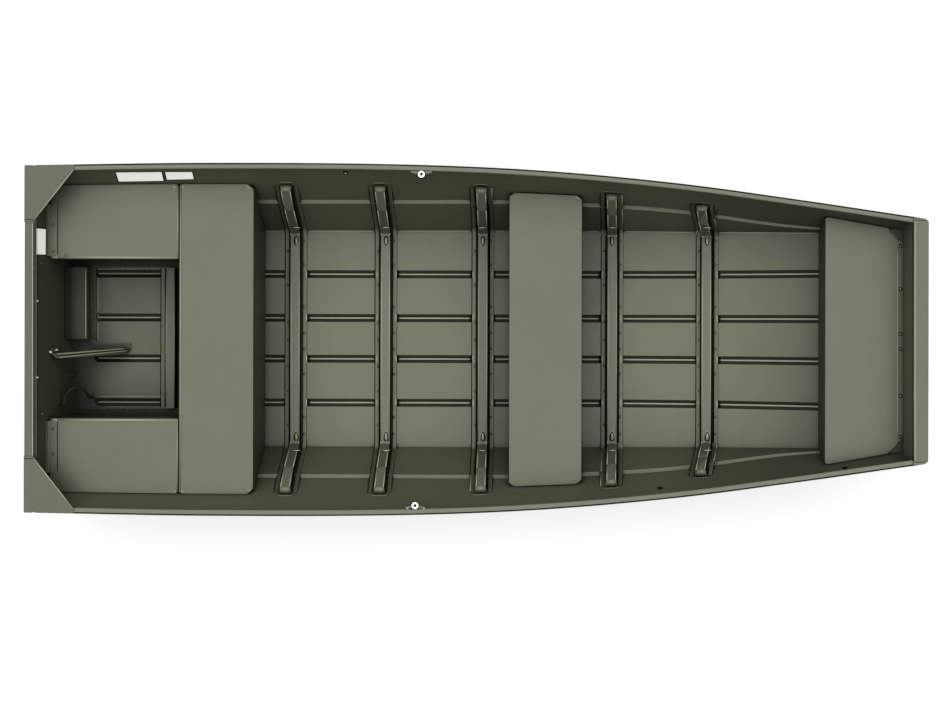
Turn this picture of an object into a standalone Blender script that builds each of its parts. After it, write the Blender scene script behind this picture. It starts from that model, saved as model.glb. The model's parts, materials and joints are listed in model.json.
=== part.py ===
"""Flat-bottom aluminium jon boat, 15 ft class, as an assembly of folded sheets.

Units are metres. +X runs to the bow, +Y to port and +Z up. The origin lies on the centreline,
mid-length, level with the underside of the floor strakes. A "station" is a distance forward of
the stern's aftmost edge.
"""

import math
from itertools import pairwise

import bmesh
import bpy
from mathutils import Vector

# Overall
HULL_LENGTH = 4.538
STERN_X = -HULL_LENGTH / 2
PORT, STARBOARD = 1, -1
SIDES = (("port", PORT), ("starboard", STARBOARD))

# Sheets and clearances
HULL_SHEET = 0.0025
BENCH_SHEET = 0.0020
SEAT_GAP = 0.0003
SIDE_CLEARANCE = 0.0009
END_GAP = 0.0007
SIDE_FOOT_RISE = 0.0027

# Floor: flat aft, a round arc, then a straight ramp to the bow panel
STRAKE_DEPTH = 0.0125
FLOOR_Z = STRAKE_DEPTH + HULL_SHEET
ARC_START = 2.796
ARC_END = 3.876
ARC_RADIUS = 3.0
STRAKE_OFFSETS = (0.110, 0.346)
STRAKE_TOP_WIDTH = 0.043
STRAKE_BOTTOM_WIDTH = 0.021
STRAKE_AFT = 0.205
STRAKE_FORWARD = 4.40
STRAKE_RUNOUT = 0.022
CHINE_LIP = 0.032
CHINE_LIP_SHARE = 0.6

# Sides: one row per station, all on the inner face of the sheet
HULL_COLUMNS = (
    "station", "sheer_half", "sheer_z", "chine_half", "ledge_reach", "ledge_rise", "ledge_width",
)
HULL_TABLE = (
    (0.000, 0.8776, 0.530, 0.5760, 0.1350, 0.235, 0.018),
    (0.900, 0.8915, 0.530, 0.5810, 0.1360, 0.235, 0.018),
    (1.900, 0.8862, 0.530, 0.5830, 0.1350, 0.235, 0.018),
    (2.600, 0.8570, 0.535, 0.5830, 0.1320, 0.233, 0.018),
    (3.300, 0.7912, 0.560, 0.5770, 0.0965, 0.207, 0.018),
    (3.950, 0.7000, 0.600, 0.5640, 0.0240, 0.058, 0.012),
    (4.538, 0.6100, 0.635, 0.5420, 0.0080, 0.012, 0.004),
)
LEDGE_DROP = 0.003
LEDGE_FADE_RISE = 0.05
ROW_SPACING = 0.16
FIRST_FRAME = 0.115
RIB_FACET_MARGIN = 0.012

# Gunwale rails
RAIL_WIDTH = 0.030
RAIL_SHEET = 0.003
RAIL_OUTER_LEG = 0.038
RAIL_INNER_LEG = 0.014
RAIL_CORNER = 0.006
RAIL_CORNER_CUT = 0.3 * RAIL_CORNER
RAIL_TOP_CLEARANCE = RAIL_CORNER + 2 * SEAT_GAP

# Transom: raked forward towards its foot
TRANSOM_SLOPE = 0.18
CAP_SHEET = 0.003
CAP_OUTER_FLANGE = 0.030
CAP_INNER_FLANGE = 0.022
CAP_INNER_FLANGE_INSET = 0.024
CAP_TOP_CLEARANCE = RAIL_CORNER + CAP_SHEET / 2 + 2 * SEAT_GAP
TRANSOM_TOP_STATION = CAP_SHEET + SEAT_GAP - RAIL_CORNER * TRANSOM_SLOPE
END_WALL_EDGE = 0.0045
BOARD_THICKNESS = 0.042
BOARD_FOOT_Z = 0.250
BOARD_SIDE_GAP = 0.005
BOARD_PANEL_LIFT = 0.0005
PAD_HALF_WIDTH = 0.215
PAD_TOP_DROP = 0.034
PAD_HEIGHT = 0.240
PAD_THICKNESS = 0.005
GUSSET_ALONG_RAIL = 0.2525
GUSSET_ALONG_CAP = 0.285
GUSSET_CORNER_INSET = 0.004
GUSSET_AFT_INSET = 0.001
GUSSET_TAPER = 0.008
GUSSET_THICKNESS = 0.003

# Bow
BOW_FOOT = 4.445
BOW_SLOPE = 0.12
BOW_PANEL_TOP_DROP = 0.016
BOW_CAP_AFT = 4.463
BOW_CAP_LIP = 0.042
BOW_CAP_CORNER = 0.014
BOW_EYE_Z = 0.530
BOW_EYE_REACH = 0.034
BOW_EYE_SPREAD = 0.024
BOW_EYE_ROD = 0.0045
BOW_EYE_STEPS = 8
BOW_EYE_PLATE = (0.005, 0.046, 0.086)

# Benches and decks
REAR_BENCH = (0.7475, 1.131)
REAR_BENCH_Z = 0.380
MID_BENCH = (2.445, 2.823)
MID_BENCH_Z = 0.330
BOW_DECK_LENGTH = 0.384
BOW_DECK_RISE = 0.039
BOW_DECK_SET_BACK = 0.008
BENCH_SKIRT = 0.045
BOW_DECK_SKIRT = 0.030
PANEL_LEDGE_MARGIN = 0.004
BENCH_EDGE_RADIUS = 0.006
BENCH_CHAMFER = 0.030
MID_BENCH_CHAMFER = 0.024
BENCH_SMALL_CHAMFER = 0.012
BOW_DECK_CHAMFER = 0.060
CORNER_DECK_INBOARD = 0.411
CORNER_DECK_GAP = 0.003
CORNER_DECK_JOGGLE = 0.0005
WALL_FOOT_FLANGE = 0.033
WALL_FLANGE_CUT = 0.006
WALL_STEP_DROP = 0.020
STRIP_WIDTH = 0.050
STRIP_UPSTAND = 0.022
STRIP_INBOARD = 0.425
STRIP_OUTBOARD = 0.690

# Cross ribs
RIB_TOP_WIDTH = 0.046
RIB_FOOT_WIDTH = 0.058
RIB_TOTAL_WIDTH = 0.113
RIB_HEIGHT = 0.036
RIB_SHEET = 0.0025
RIB_LEG_TOP_Z = 0.330
RIB_BEND = 0.022
LEDGE_SEARCH_STEPS = 6
WELL_RIB_STATION = 0.626
WELL_RIB_GAP = 0.002
RIB_STATIONS = (1.295, 1.779, 2.301, 2.997, 3.499)

# Splash well fittings
FOOT_BOX_FRONT = 0.190
FOOT_BOX_Z = 0.100
FOOT_BOX_STARBOARD_END = -0.005
FOOT_BOX_FLANGE = 0.028
FOOT_BOX_UPSTAND = 0.022
FOOT_BOX_GAP = 0.001
KNEE_Y = -0.078
KNEE_TURN = math.radians(4.0)
KNEE_PIVOT = 0.1
KNEE_TOP_Z = 0.360
KNEE_REACH = 0.300
KNEE_FLANGE = 0.026
KNEE_FOOT_FLANGE = 0.032
KNEE_SHEET = 0.004
KNEE_HEEL = 0.100
KNEE_BOARD_LAP = 0.008
KNEE_FLANGE_CUT = 0.08
DRAIN_Y = -0.200
DRAIN_Z = 0.048
DRAIN_BORE = 0.026
DRAIN_WALL = 0.0015
DRAIN_FLANGE = 0.046
DRAIN_FLANGE_THICKNESS = 0.002
DRAIN_TUBE_INSIDE = 0.022
PLUG_INSIDE = 0.018
PLUG_TIP = 0.002
PLUG_LIP = 0.003
PLUG_HEAD = 0.007
HOSE_DIAMETER = 0.015
HOSE_FLANGE = 0.008
HOSE_FLANGE_THICKNESS = 0.004
HOSE_FLANGE_SLOPE = 0.002
HOSE_UPPER_BARB = 0.018
HOSE_LOWER_BARB = 0.040
HOSE_LOWER_WALL = 0.001
HOSE_PORT_Y = -0.3475
HOSE_PORT_Z = 0.200
HOSE_FOOT_STATION = 0.196
HOSE_FOOT_Y = -0.315
HOSE_ROUTE = (
    (0.112, -0.300, 0.200), (0.140, -0.268, 0.180), (0.172, -0.262, 0.150), (0.193, -0.285, 0.115),
)
HOSE_ROUTE_STEPS = 3

# Oarlocks
OARLOCKS = (("port", PORT, 2.003), ("starboard", STARBOARD, 1.975))
OARLOCK_LENGTH = 0.106
OARLOCK_DEPTH = 0.014
OARLOCK_TOP_DROP = 0.004
OARLOCK_HEIGHT = 0.038
OARLOCK_BOSS_RADIUS = 0.0180
OARLOCK_BUSH_RADIUS = 0.0125
OARLOCK_BORE_RADIUS = 0.0080
OARLOCK_RAIL_GAP = 0.0018
OARLOCK_BOSS_OFFSET = 0.002
OARLOCK_BUSH_BELOW = 0.002
OARLOCK_RIM_INSET = 0.0005
OARLOCK_FLANGE_THICKNESS = 0.002
OARLOCK_BOSS_STEPS = 8

# Round resolution
ROUND_STEPS = 24
ROD_RESOLUTION = 2
CUTTER_SPARE = 0.02

PAINT = ("olive_paint", (0.192, 0.206, 0.154), 0.55, 0.0)
RAIL_PAINT = ("rail_paint", (0.250, 0.264, 0.208), 0.50, 0.0)
BOARD_PAINT = ("board_paint", (0.100, 0.103, 0.078), 0.60, 0.0)
BARE_METAL = ("bare_metal", (0.700, 0.700, 0.690), 0.35, 1.0)
BLACK_RUBBER = ("black_rubber", (0.030, 0.030, 0.028), 0.70, 0.0)


# Scene helpers


def clear_scene():
    for obj in list(bpy.data.objects):
        bpy.data.objects.remove(obj)


def collection_named(name):
    collection = bpy.data.collections.new(name)
    bpy.context.scene.collection.children.link(collection)
    return collection


def material_of(spec):
    name, colour, roughness, metallic = spec
    material = bpy.data.materials.get(name)
    if material is None:
        material = bpy.data.materials.new(name)
        material.use_nodes = True
        shader = material.node_tree.nodes["Principled BSDF"]
        shader.inputs["Base Color"].default_value = (*colour, 1.0)
        shader.inputs["Roughness"].default_value = roughness
        shader.inputs["Metallic"].default_value = metallic
    return material


def object_from_bmesh(name, mesh_in_progress, spec, collection):
    mesh = bpy.data.meshes.new(name)
    mesh_in_progress.to_mesh(mesh)
    mesh_in_progress.free()
    mesh.materials.append(material_of(spec))
    obj = bpy.data.objects.new(name, mesh)
    collection.objects.link(obj)
    return obj


def smooth_round_faces(obj, angle=math.radians(35)):
    obj.data.shade_smooth()
    obj.data.set_sharp_from_angle(angle=angle)


def thicken(obj, thickness, outward):
    solidify = obj.modifiers.new("Solidify", "SOLIDIFY")
    solidify.thickness = thickness
    solidify.offset = 1.0 if outward else -1.0
    solidify.use_even_offset = True
    solidify.use_quality_normals = True


def at(station, y, z):
    return Vector((STERN_X + station, y, z))


def mirrored(points, side):
    return [Vector((p.x, p.y * side, p.z)) for p in points]


def sheet_from_rows(name, rows, thickness, outward, spec, collection, side=PORT, full_outboard=False):
    """A folded sheet from rows of points. Its normals follow columns x rows on the port side.

    A twisted patch can be split along either diagonal: full_outboard takes the outer one, so that
    what stands inside the sheet stays clear of it.
    """
    mesh = bmesh.new()
    grid = [[mesh.verts.new(p) for p in mirrored(row, side)] for row in rows]
    for near, far in pairwise(grid):
        for (a, b), (d, c) in zip(pairwise(near), pairwise(far)):
            patches = [(a, b, c, d)]
            if full_outboard:
                outer_ac = abs(a.co.y + c.co.y) > abs(b.co.y + d.co.y)
                patches = [(a, b, c), (a, c, d)] if outer_ac else [(a, b, d), (b, c, d)]
            for patch in patches:
                mesh.faces.new(patch if side == PORT else patch[::-1])
    obj = object_from_bmesh(name, mesh, spec, collection)
    thicken(obj, thickness, outward)
    return obj


def plate(name, outline, push, spec, collection):
    """A flat plate: a face through the outline, pushed out by a vector."""
    mesh = bmesh.new()
    face = mesh.faces.new([mesh.verts.new(p) for p in outline])
    extruded = bmesh.ops.extrude_face_region(mesh, geom=[face])
    moved = [item for item in extruded["geom"] if isinstance(item, bmesh.types.BMVert)]
    bmesh.ops.translate(mesh, verts=moved, vec=push)
    bmesh.ops.recalc_face_normals(mesh, faces=mesh.faces)
    return object_from_bmesh(name, mesh, spec, collection)


def divide(mesh, point, normal):
    """Divides a mesh's faces along a plane."""
    geometry = [*mesh.verts, *mesh.edges, *mesh.faces]
    bmesh.ops.bisect_plane(mesh, geom=geometry, plane_co=point, plane_no=normal, dist=1e-6)


def raise_panel(obj, point, low_z, high_z, half_width, lift):
    """Raises the middle of a cross board's face, between two heights, proud of the rest."""
    mesh = bmesh.new()
    mesh.from_mesh(obj.data)
    for z in (low_z, high_z):
        divide(mesh, at(0, 0, z), Vector((0, 0, 1)))
    for y in (-half_width, half_width):
        divide(mesh, at(0, y, 0), Vector((0, 1, 0)))
    face = min(mesh.faces, key=lambda f: (f.calc_center_median() - point).length)
    push = face.normal * lift
    raised = bmesh.ops.extrude_discrete_faces(mesh, faces=[face])["faces"]
    bmesh.ops.translate(mesh, vec=push, verts=raised[0].verts)
    mesh.to_mesh(obj.data)
    mesh.free()


def joggle(obj, station, drop):
    """Steps the part of a sheet aft of a station down, so that another sheet can lap it."""
    mesh = bmesh.new()
    mesh.from_mesh(obj.data)
    for crease in (station, station + drop):
        divide(mesh, at(crease, 0, 0), Vector((1, 0, 0)))
    behind = at(station + drop / 2, 0, 0).x
    lapped = [vert for vert in mesh.verts if vert.co.x < behind]
    bmesh.ops.translate(mesh, vec=Vector((0, 0, -drop)), verts=lapped)
    mesh.to_mesh(obj.data)
    mesh.free()


def turned(name, profile, centre, axis, spec, collection):
    """A solid of revolution. The profile lists (radius, height) along its axis, closed."""
    mesh = bmesh.new()
    ring = [mesh.verts.new((radius, 0, height)) for radius, height in profile]
    edges = [mesh.edges.new(pair) for pair in zip(ring, ring[1:] + ring[:1])]
    bmesh.ops.spin(
        mesh, geom=ring + edges, cent=(0, 0, 0), axis=(0, 0, 1),
        angle=math.tau, steps=ROUND_STEPS, use_merge=True,
    )
    bmesh.ops.remove_doubles(mesh, verts=mesh.verts, dist=1e-6)
    bmesh.ops.recalc_face_normals(mesh, faces=mesh.faces)
    obj = object_from_bmesh(name, mesh, spec, collection)
    obj.rotation_euler = Vector(axis).to_track_quat("Z", "Y").to_euler()
    obj.location = centre
    smooth_round_faces(obj)
    return obj


def cylinder_cutter(name, centre, axis, radius, length, cutters):
    mesh = bmesh.new()
    bmesh.ops.create_cone(
        mesh, cap_ends=True, segments=ROUND_STEPS, radius1=radius, radius2=radius, depth=length,
    )
    cutter = object_from_bmesh(name, mesh, PAINT, cutters)
    cutter.rotation_euler = Vector(axis).to_track_quat("Z", "Y").to_euler()
    cutter.location = centre
    cutter.hide_render = True
    cutter.display_type = "WIRE"
    return cutter


def cut(obj, cutter):
    boolean = obj.modifiers.new("Cut", "BOOLEAN")
    boolean.operation = "DIFFERENCE"
    boolean.object = cutter


# Hull form


def table_value(column, station):
    """A smooth cubic through one column of the hull table."""
    index = HULL_COLUMNS.index(column)
    xs = [row[0] for row in HULL_TABLE]
    ys = [row[index] for row in HULL_TABLE]
    last = len(xs) - 1
    k = next((i for i in range(last) if station <= xs[i + 1]), last - 1)

    def slope(i):
        before, after = max(i - 1, 0), min(i + 1, last)
        return (ys[after] - ys[before]) / (xs[after] - xs[before])

    span = xs[k + 1] - xs[k]
    t = (station - xs[k]) / span
    start = (2 * t**3 - 3 * t**2 + 1) * ys[k] + (t**3 - 2 * t**2 + t) * span * slope(k)
    end = (3 * t**2 - 2 * t**3) * ys[k + 1] + (t**3 - t**2) * span * slope(k + 1)
    return start + end


def round_floor_z(station):
    """Inner face of the floor sheet, before it is split into flat facets."""
    run = min(max(station - ARC_START, 0.0), ARC_END - ARC_START)
    rise = ARC_RADIUS - math.sqrt(ARC_RADIUS**2 - run**2)
    ramp = max(station - ARC_END, 0.0) * run / math.sqrt(ARC_RADIUS**2 - run**2)
    return FLOOR_Z + rise + ramp


def round_section(station):
    """(y, z) down the inner face of the port side: chine, ledge inner, ledge outer, top edge."""
    floor = round_floor_z(station)
    chine = table_value("chine_half", station)
    reach = table_value("ledge_reach", station)
    rise = table_value("ledge_rise", station)
    width = table_value("ledge_width", station)
    sheer_half = table_value("sheer_half", station)
    sheer_z = table_value("sheer_z", station)
    drop = LEDGE_DROP * min(1.0, rise / LEDGE_FADE_RISE)
    return [
        (chine, floor),
        (chine + reach - width / 2, floor + rise - drop),
        (chine + reach + width / 2, floor + rise),
        (sheer_half - RAIL_SHEET - SEAT_GAP - HULL_SHEET, sheer_z - RAIL_TOP_CLEARANCE),
    ]


def spaced(start, end, spacing):
    count = max(1, math.ceil((end - start) / spacing - 1e-6))
    return [start + (end - start) * i / count for i in range(count)]


def frame_stations():
    """Stations of the sheets' creases: each rib on the arc stands on one flat facet."""
    half = RIB_TOTAL_WIDTH / 2 + RIB_FACET_MARGIN
    keys = {FIRST_FRAME, ARC_START, ARC_END, BOW_FOOT}
    for rib in RIB_STATIONS:
        if ARC_START < rib < ARC_END:
            keys |= {rib - half, rib + half}
    stations = []
    for start, end in pairwise(sorted(keys)):
        stations += spaced(start, end, ROW_SPACING)
    return [*stations, BOW_FOOT]


FRAMES = [(station, round_section(station)) for station in frame_stations()]


def blend(low, high, share):
    return low + (high - low) * share


def section(station):
    """The side's (y, z) points on the flat facets between two frames."""
    inner = [pair for pair in pairwise(FRAMES) if station <= pair[1][0]]
    (s0, before), (s1, after) = inner[0] if inner else (FRAMES[-2], FRAMES[-1])
    share = (station - s0) / (s1 - s0)
    return [
        (blend(y0, y1, share), blend(z0, z1, share))
        for (y0, z0), (y1, z1) in zip(before, after)
    ]


def floor_z(station):
    return section(station)[0][1]


def chine_half(station):
    return section(station)[0][0]


def side_half(station, z):
    """Half-breadth of the side's inner face at a height."""
    points = section(station)
    for (y0, z0), (y1, z1) in pairwise(points):
        if z <= z1:
            return blend(y0, y1, (z - z0) / (z1 - z0))
    (y0, z0), (y1, z1) = points[-2:]
    return blend(y0, y1, (z - z0) / (z1 - z0))


def transom_aft(z):
    """Station of the transom skin's outer face."""
    return TRANSOM_TOP_STATION + (table_value("sheer_z", 0.0) - z) * TRANSOM_SLOPE


def transom_inner(z):
    return transom_aft(z) + HULL_SHEET


def board_inner(z):
    return transom_inner(z) + SEAT_GAP + BOARD_THICKNESS


def bow_inner(z):
    """Station of the bow panel's inner face."""
    return BOW_FOOT + (z - floor_z(BOW_FOOT)) * BOW_SLOPE


def side_offset(points):
    """How far out from the side's inner face its outer face lies, at the same height."""
    (y0, z0), (y1, z1) = points[:2]
    flare = (y1 - y0) / (z1 - z0)
    return HULL_SHEET * math.sqrt(1 + flare**2)


# Hull sheets


def strake_depth_at(station):
    aft = (station - STRAKE_AFT) / STRAKE_RUNOUT
    forward = (STRAKE_FORWARD - station) / STRAKE_RUNOUT
    return STRAKE_DEPTH * min(max(min(aft, forward), 0.0), 1.0)


def bottom_half_profile(station, depth):
    """(y, z) from the centreline out: the strakes, the chine and the lip outside the side."""
    points = section(station)
    floor = points[0][1]
    profile = []
    for offset in STRAKE_OFFSETS:
        profile += [
            (offset - STRAKE_TOP_WIDTH / 2, floor),
            (offset - STRAKE_BOTTOM_WIDTH / 2, floor - depth),
            (offset + STRAKE_BOTTOM_WIDTH / 2, floor - depth),
            (offset + STRAKE_TOP_WIDTH / 2, floor),
        ]
    (y0, z0), (y1, z1) = points[:2]
    flare = (y1 - y0) / (z1 - z0)
    outside = y0 + side_offset(points) + SIDE_CLEARANCE
    lip = min(CHINE_LIP, (z1 - z0) * CHINE_LIP_SHARE)
    return [*profile, (outside, floor), (outside + flare * lip, floor + lip)]


def hull_bottom(collection):
    foot = transom_inner(FLOOR_Z) + END_GAP
    stations = {foot, *(s for s, _ in FRAMES)}
    stations |= {STRAKE_AFT, STRAKE_AFT + STRAKE_RUNOUT}
    stations |= {STRAKE_FORWARD - STRAKE_RUNOUT, STRAKE_FORWARD}
    rows = []
    for station in sorted(stations):
        half = bottom_half_profile(station, strake_depth_at(station))
        whole = [(-y, z) for y, z in reversed(half)] + half
        rows.append([at(clip_to_ends(station, z), y, z) for y, z in whole])
    sheet_from_rows("hull_bottom", rows, HULL_SHEET, True, PAINT, collection, full_outboard=True)


def side_point_of(station, index):
    """One of the side's section points, moved along the hull on to an end wall at its ends."""
    s = clip_to_ends(station, section(station)[index][1])
    y, z = section(s)[index]
    return s, y, z


def clip_to_ends(station, z):
    """A station moved, on the end frames only, on to the raked transom or bow panel."""
    if station <= FRAMES[0][0] - 1e-9:
        return transom_inner(z - HULL_SHEET) + END_GAP
    if station >= BOW_FOOT - 1e-9:
        return bow_inner(z) - HULL_SHEET * 0.5 - END_GAP
    return station


def hull_sides(collection):
    for label, side in SIDES:
        first = transom_inner(FLOOR_Z) + END_GAP
        rows = []
        for station in [first, *(s for s, _ in FRAMES)]:
            (s0, y0, z0), (s1, y1, z1), *upper = [side_point_of(station, i) for i in range(4)]
            flare = (y1 - y0) / (z1 - z0)
            foot = (s0, y0 + SIDE_FOOT_RISE * flare, z0 + SIDE_FOOT_RISE)
            rows.append([at(*point) for point in (foot, (s1, y1, z1), *upper)])
        sheet_from_rows(
            f"hull_side_{label}", rows, HULL_SHEET, True, PAINT, collection, side, full_outboard=True,
        )


def end_wall_outline(station, station_of_z, foot_z, top_z):
    """Outline of a wall that closes an end of the hull, just past the sides' outer faces."""
    points = section(station)
    half = [(points[0][0] + END_WALL_EDGE, foot_z)]
    half += [(y + END_WALL_EDGE, z) for y, z in points[:3] if z > foot_z + END_WALL_EDGE]
    half += [(side_half(station, top_z) + HULL_SHEET - 2 * SEAT_GAP, top_z)]
    whole = half + [(-y, z) for y, z in reversed(half)]
    return [at(station_of_z(z), y, z) for y, z in whole]


def transom(collection, cutters):
    top_z = table_value("sheer_z", 0.0) - CAP_TOP_CLEARANCE
    outline = end_wall_outline(FIRST_FRAME, transom_aft, HULL_SHEET / 2, top_z)
    skin = plate("transom_skin", outline, Vector((HULL_SHEET, 0, 0)), PAINT, collection)
    drain = at(transom_aft(DRAIN_Z), DRAIN_Y, DRAIN_Z)
    axis = (1, 0, TRANSOM_SLOPE)
    bore = DRAIN_BORE / 2 + DRAIN_WALL + SEAT_GAP
    cut(skin, cylinder_cutter("drain_cutter", drain, axis, bore, CUTTER_SPARE, cutters))
    transom_board(top_z, collection)

    pad_top = table_value("sheer_z", 0.0) - PAD_TOP_DROP
    pad = [
        (PAD_HALF_WIDTH, pad_top), (PAD_HALF_WIDTH, pad_top - PAD_HEIGHT),
        (-PAD_HALF_WIDTH, pad_top - PAD_HEIGHT), (-PAD_HALF_WIDTH, pad_top),
    ]
    outline = [at(transom_aft(z) - SEAT_GAP, y, z) for y, z in pad]
    plate("transom_pad", outline, Vector((-PAD_THICKNESS, 0, 0)), PAINT, collection)


def transom_board(top_z, collection):
    """The motor's board. Its middle stands a little proud, clear of the cap, knee and strips."""
    half = [(side_half(FIRST_FRAME, z) - BOARD_SIDE_GAP, z) for z in (BOARD_FOOT_Z, top_z)]
    whole = half + [(-y, z) for y, z in reversed(half)]
    outline = [at(transom_inner(z) + SEAT_GAP, y, z) for y, z in whole]
    push = Vector((BOARD_THICKNESS, 0, 0))
    board = plate("transom_board", outline, push, BOARD_PAINT, collection)
    cap_foot = table_value("sheer_z", 0.0) - CAP_INNER_FLANGE
    low_z, high_z = KNEE_TOP_Z + KNEE_SHEET, cap_foot - CAP_SHEET
    middle = (low_z + high_z) / 2
    point = at(board_inner(middle), 0, middle)
    raise_panel(board, point, low_z, high_z, STRIP_INBOARD - SEAT_GAP, BOARD_PANEL_LIFT)


def cap_forward(z):
    """Station of the transom cap's forward face."""
    return board_inner(z) + SEAT_GAP + CAP_SHEET


def transom_cap(collection):
    top = table_value("sheer_z", 0.0)
    half = table_value("sheer_half", 0.0) - SEAT_GAP
    corner_z = top - RAIL_CORNER
    outer_foot, inner_foot = top - CAP_OUTER_FLANGE, top - CAP_INNER_FLANGE
    outer, inner = 0.0, cap_forward(corner_z)
    inset = CAP_INNER_FLANGE_INSET
    profile = [
        (transom_aft(outer_foot) - SEAT_GAP - CAP_SHEET, outer_foot, 0.0),
        (outer, corner_z, 0.0),
        (outer + RAIL_CORNER, top, 0.0),
        (inner - RAIL_CORNER, top, 0.0),
        (inner, corner_z, inset),
        (cap_forward(inner_foot), inner_foot, inset),
    ]
    rows = [
        [at(station, side * (half - narrower), z) for station, z, narrower in profile]
        for side in (STARBOARD, PORT)
    ]
    sheet_from_rows("transom_cap", rows, CAP_SHEET, False, PAINT, collection)


def corner_gussets(collection):
    top = table_value("sheer_z", 0.0) + SEAT_GAP
    for label, side in SIDES:
        corner = table_value("sheer_half", 0.0) - GUSSET_CORNER_INSET
        along = GUSSET_ALONG_RAIL
        rail = table_value("sheer_half", along)
        plan = [
            (GUSSET_AFT_INSET, corner),
            (GUSSET_AFT_INSET, corner - GUSSET_ALONG_CAP),
            (cap_forward(top), corner - GUSSET_ALONG_CAP + GUSSET_TAPER),
            (along - GUSSET_AFT_INSET, rail - RAIL_WIDTH + GUSSET_AFT_INSET),
            (along, rail - GUSSET_CORNER_INSET),
        ]
        outline = mirrored([at(s, y, top) for s, y in plan], side)
        push = Vector((0, 0, GUSSET_THICKNESS))
        plate(f"corner_gusset_{label}", outline, push, RAIL_PAINT, collection)


def gunwales(collection):
    aft = cap_forward(table_value("sheer_z", 0.0) - CAP_INNER_FLANGE) + SEAT_GAP
    forward = HULL_LENGTH - BOW_CAP_CORNER - 2 * CAP_SHEET
    profile = [
        (0.0, -RAIL_OUTER_LEG), (0.0, -RAIL_CORNER), (RAIL_CORNER_CUT, -RAIL_CORNER_CUT),
        (RAIL_CORNER, 0.0), (RAIL_WIDTH - RAIL_CORNER, 0.0),
        (RAIL_WIDTH - RAIL_CORNER_CUT, -RAIL_CORNER_CUT), (RAIL_WIDTH, -RAIL_CORNER),
        (RAIL_WIDTH, -RAIL_INNER_LEG),
    ]
    stations = sorted({aft, forward, *(s for s, _ in FRAMES)})
    for label, side in SIDES:
        rows = []
        for station in stations:
            half, top = rail_edge(station)
            rows.append([at(station, half - inboard, top + up) for inboard, up in profile])
        sheet_from_rows(
            f"gunwale_{label}", rows, RAIL_SHEET, False, RAIL_PAINT, collection, side,
        )


def rail_edge(station):
    """(half-breadth, height) of the rail's outer top edge, straight between frames."""
    y, z = section(station)[3]
    return y + RAIL_SHEET + SEAT_GAP + HULL_SHEET, z + RAIL_TOP_CLEARANCE


def bow(collection):
    top_z = rail_edge(BOW_FOOT)[1] - BOW_PANEL_TOP_DROP
    foot_z = floor_z(BOW_FOOT) - HULL_SHEET
    outline = end_wall_outline(BOW_FOOT, bow_inner, foot_z, top_z)
    plate("bow_panel", outline, Vector((HULL_SHEET, 0, 0)), PAINT, collection)
    bow_cap(collection)
    bow_eye(collection)


def bow_cap(collection):
    top = rail_edge(HULL_LENGTH)[1] + SEAT_GAP + CAP_SHEET
    aft_half, front_half = rail_edge(BOW_CAP_AFT)[0], rail_edge(HULL_LENGTH)[0]
    port_rows = ((0.0, HULL_LENGTH - BOW_CAP_CORNER), (BOW_CAP_CORNER, HULL_LENGTH))
    whole = [(STARBOARD, *row) for row in port_rows] + [(PORT, *row) for row in reversed(port_rows)]
    grid = []
    for side, inset, front in whole:
        aft_y, front_y = side * (aft_half - inset), side * (front_half - inset)
        grid.append([
            at(BOW_CAP_AFT, aft_y, top),
            at(front - RAIL_CORNER, front_y, top),
            at(front, front_y, top - RAIL_CORNER),
            at(front, front_y, top - BOW_CAP_LIP),
        ])
    sheet_from_rows("bow_cap", grid, CAP_SHEET, False, RAIL_PAINT, collection)


def bow_eye(collection):
    depth, width, height = BOW_EYE_PLATE

    def face(z):
        return bow_inner(z) + HULL_SHEET + SEAT_GAP

    low, high = BOW_EYE_Z - height / 2, BOW_EYE_Z + height / 2
    corners = [(width / 2, low), (width / 2, high), (-width / 2, high), (-width / 2, low)]
    outline = [at(face(z), y, z) for y, z in corners]
    plate("bow_eye_plate", outline, Vector((depth, 0, 0)), BARE_METAL, collection)
    curve = bpy.data.curves.new("bow_eye", "CURVE")
    curve.dimensions = "3D"
    curve.bevel_depth = BOW_EYE_ROD
    curve.bevel_resolution = ROD_RESOLUTION
    curve.use_fill_caps = True
    seat = depth + SEAT_GAP + BOW_EYE_ROD * BOW_SLOPE
    straight = BOW_EYE_REACH - BOW_EYE_SPREAD - BOW_EYE_ROD
    turns = [math.pi * i / BOW_EYE_STEPS for i in range(BOW_EYE_STEPS + 1)]
    route = [(face(BOW_EYE_Z + BOW_EYE_SPREAD) + seat, BOW_EYE_SPREAD)]
    route += [
        (
            face(BOW_EYE_Z) + seat + straight + BOW_EYE_SPREAD * math.sin(turn),
            BOW_EYE_SPREAD * math.cos(turn),
        )
        for turn in turns
    ]
    route += [(face(BOW_EYE_Z - BOW_EYE_SPREAD) + seat, -BOW_EYE_SPREAD)]
    spline = curve.splines.new("POLY")
    spline.points.add(len(route) - 1)
    for point, (station, rise) in zip(spline.points, route):
        point.co = (*at(station, 0.0, BOW_EYE_Z + rise), 1.0)
    curve.materials.append(material_of(BARE_METAL))
    collection.objects.link(bpy.data.objects.new("bow_eye", curve))


# Benches and decks


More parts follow.
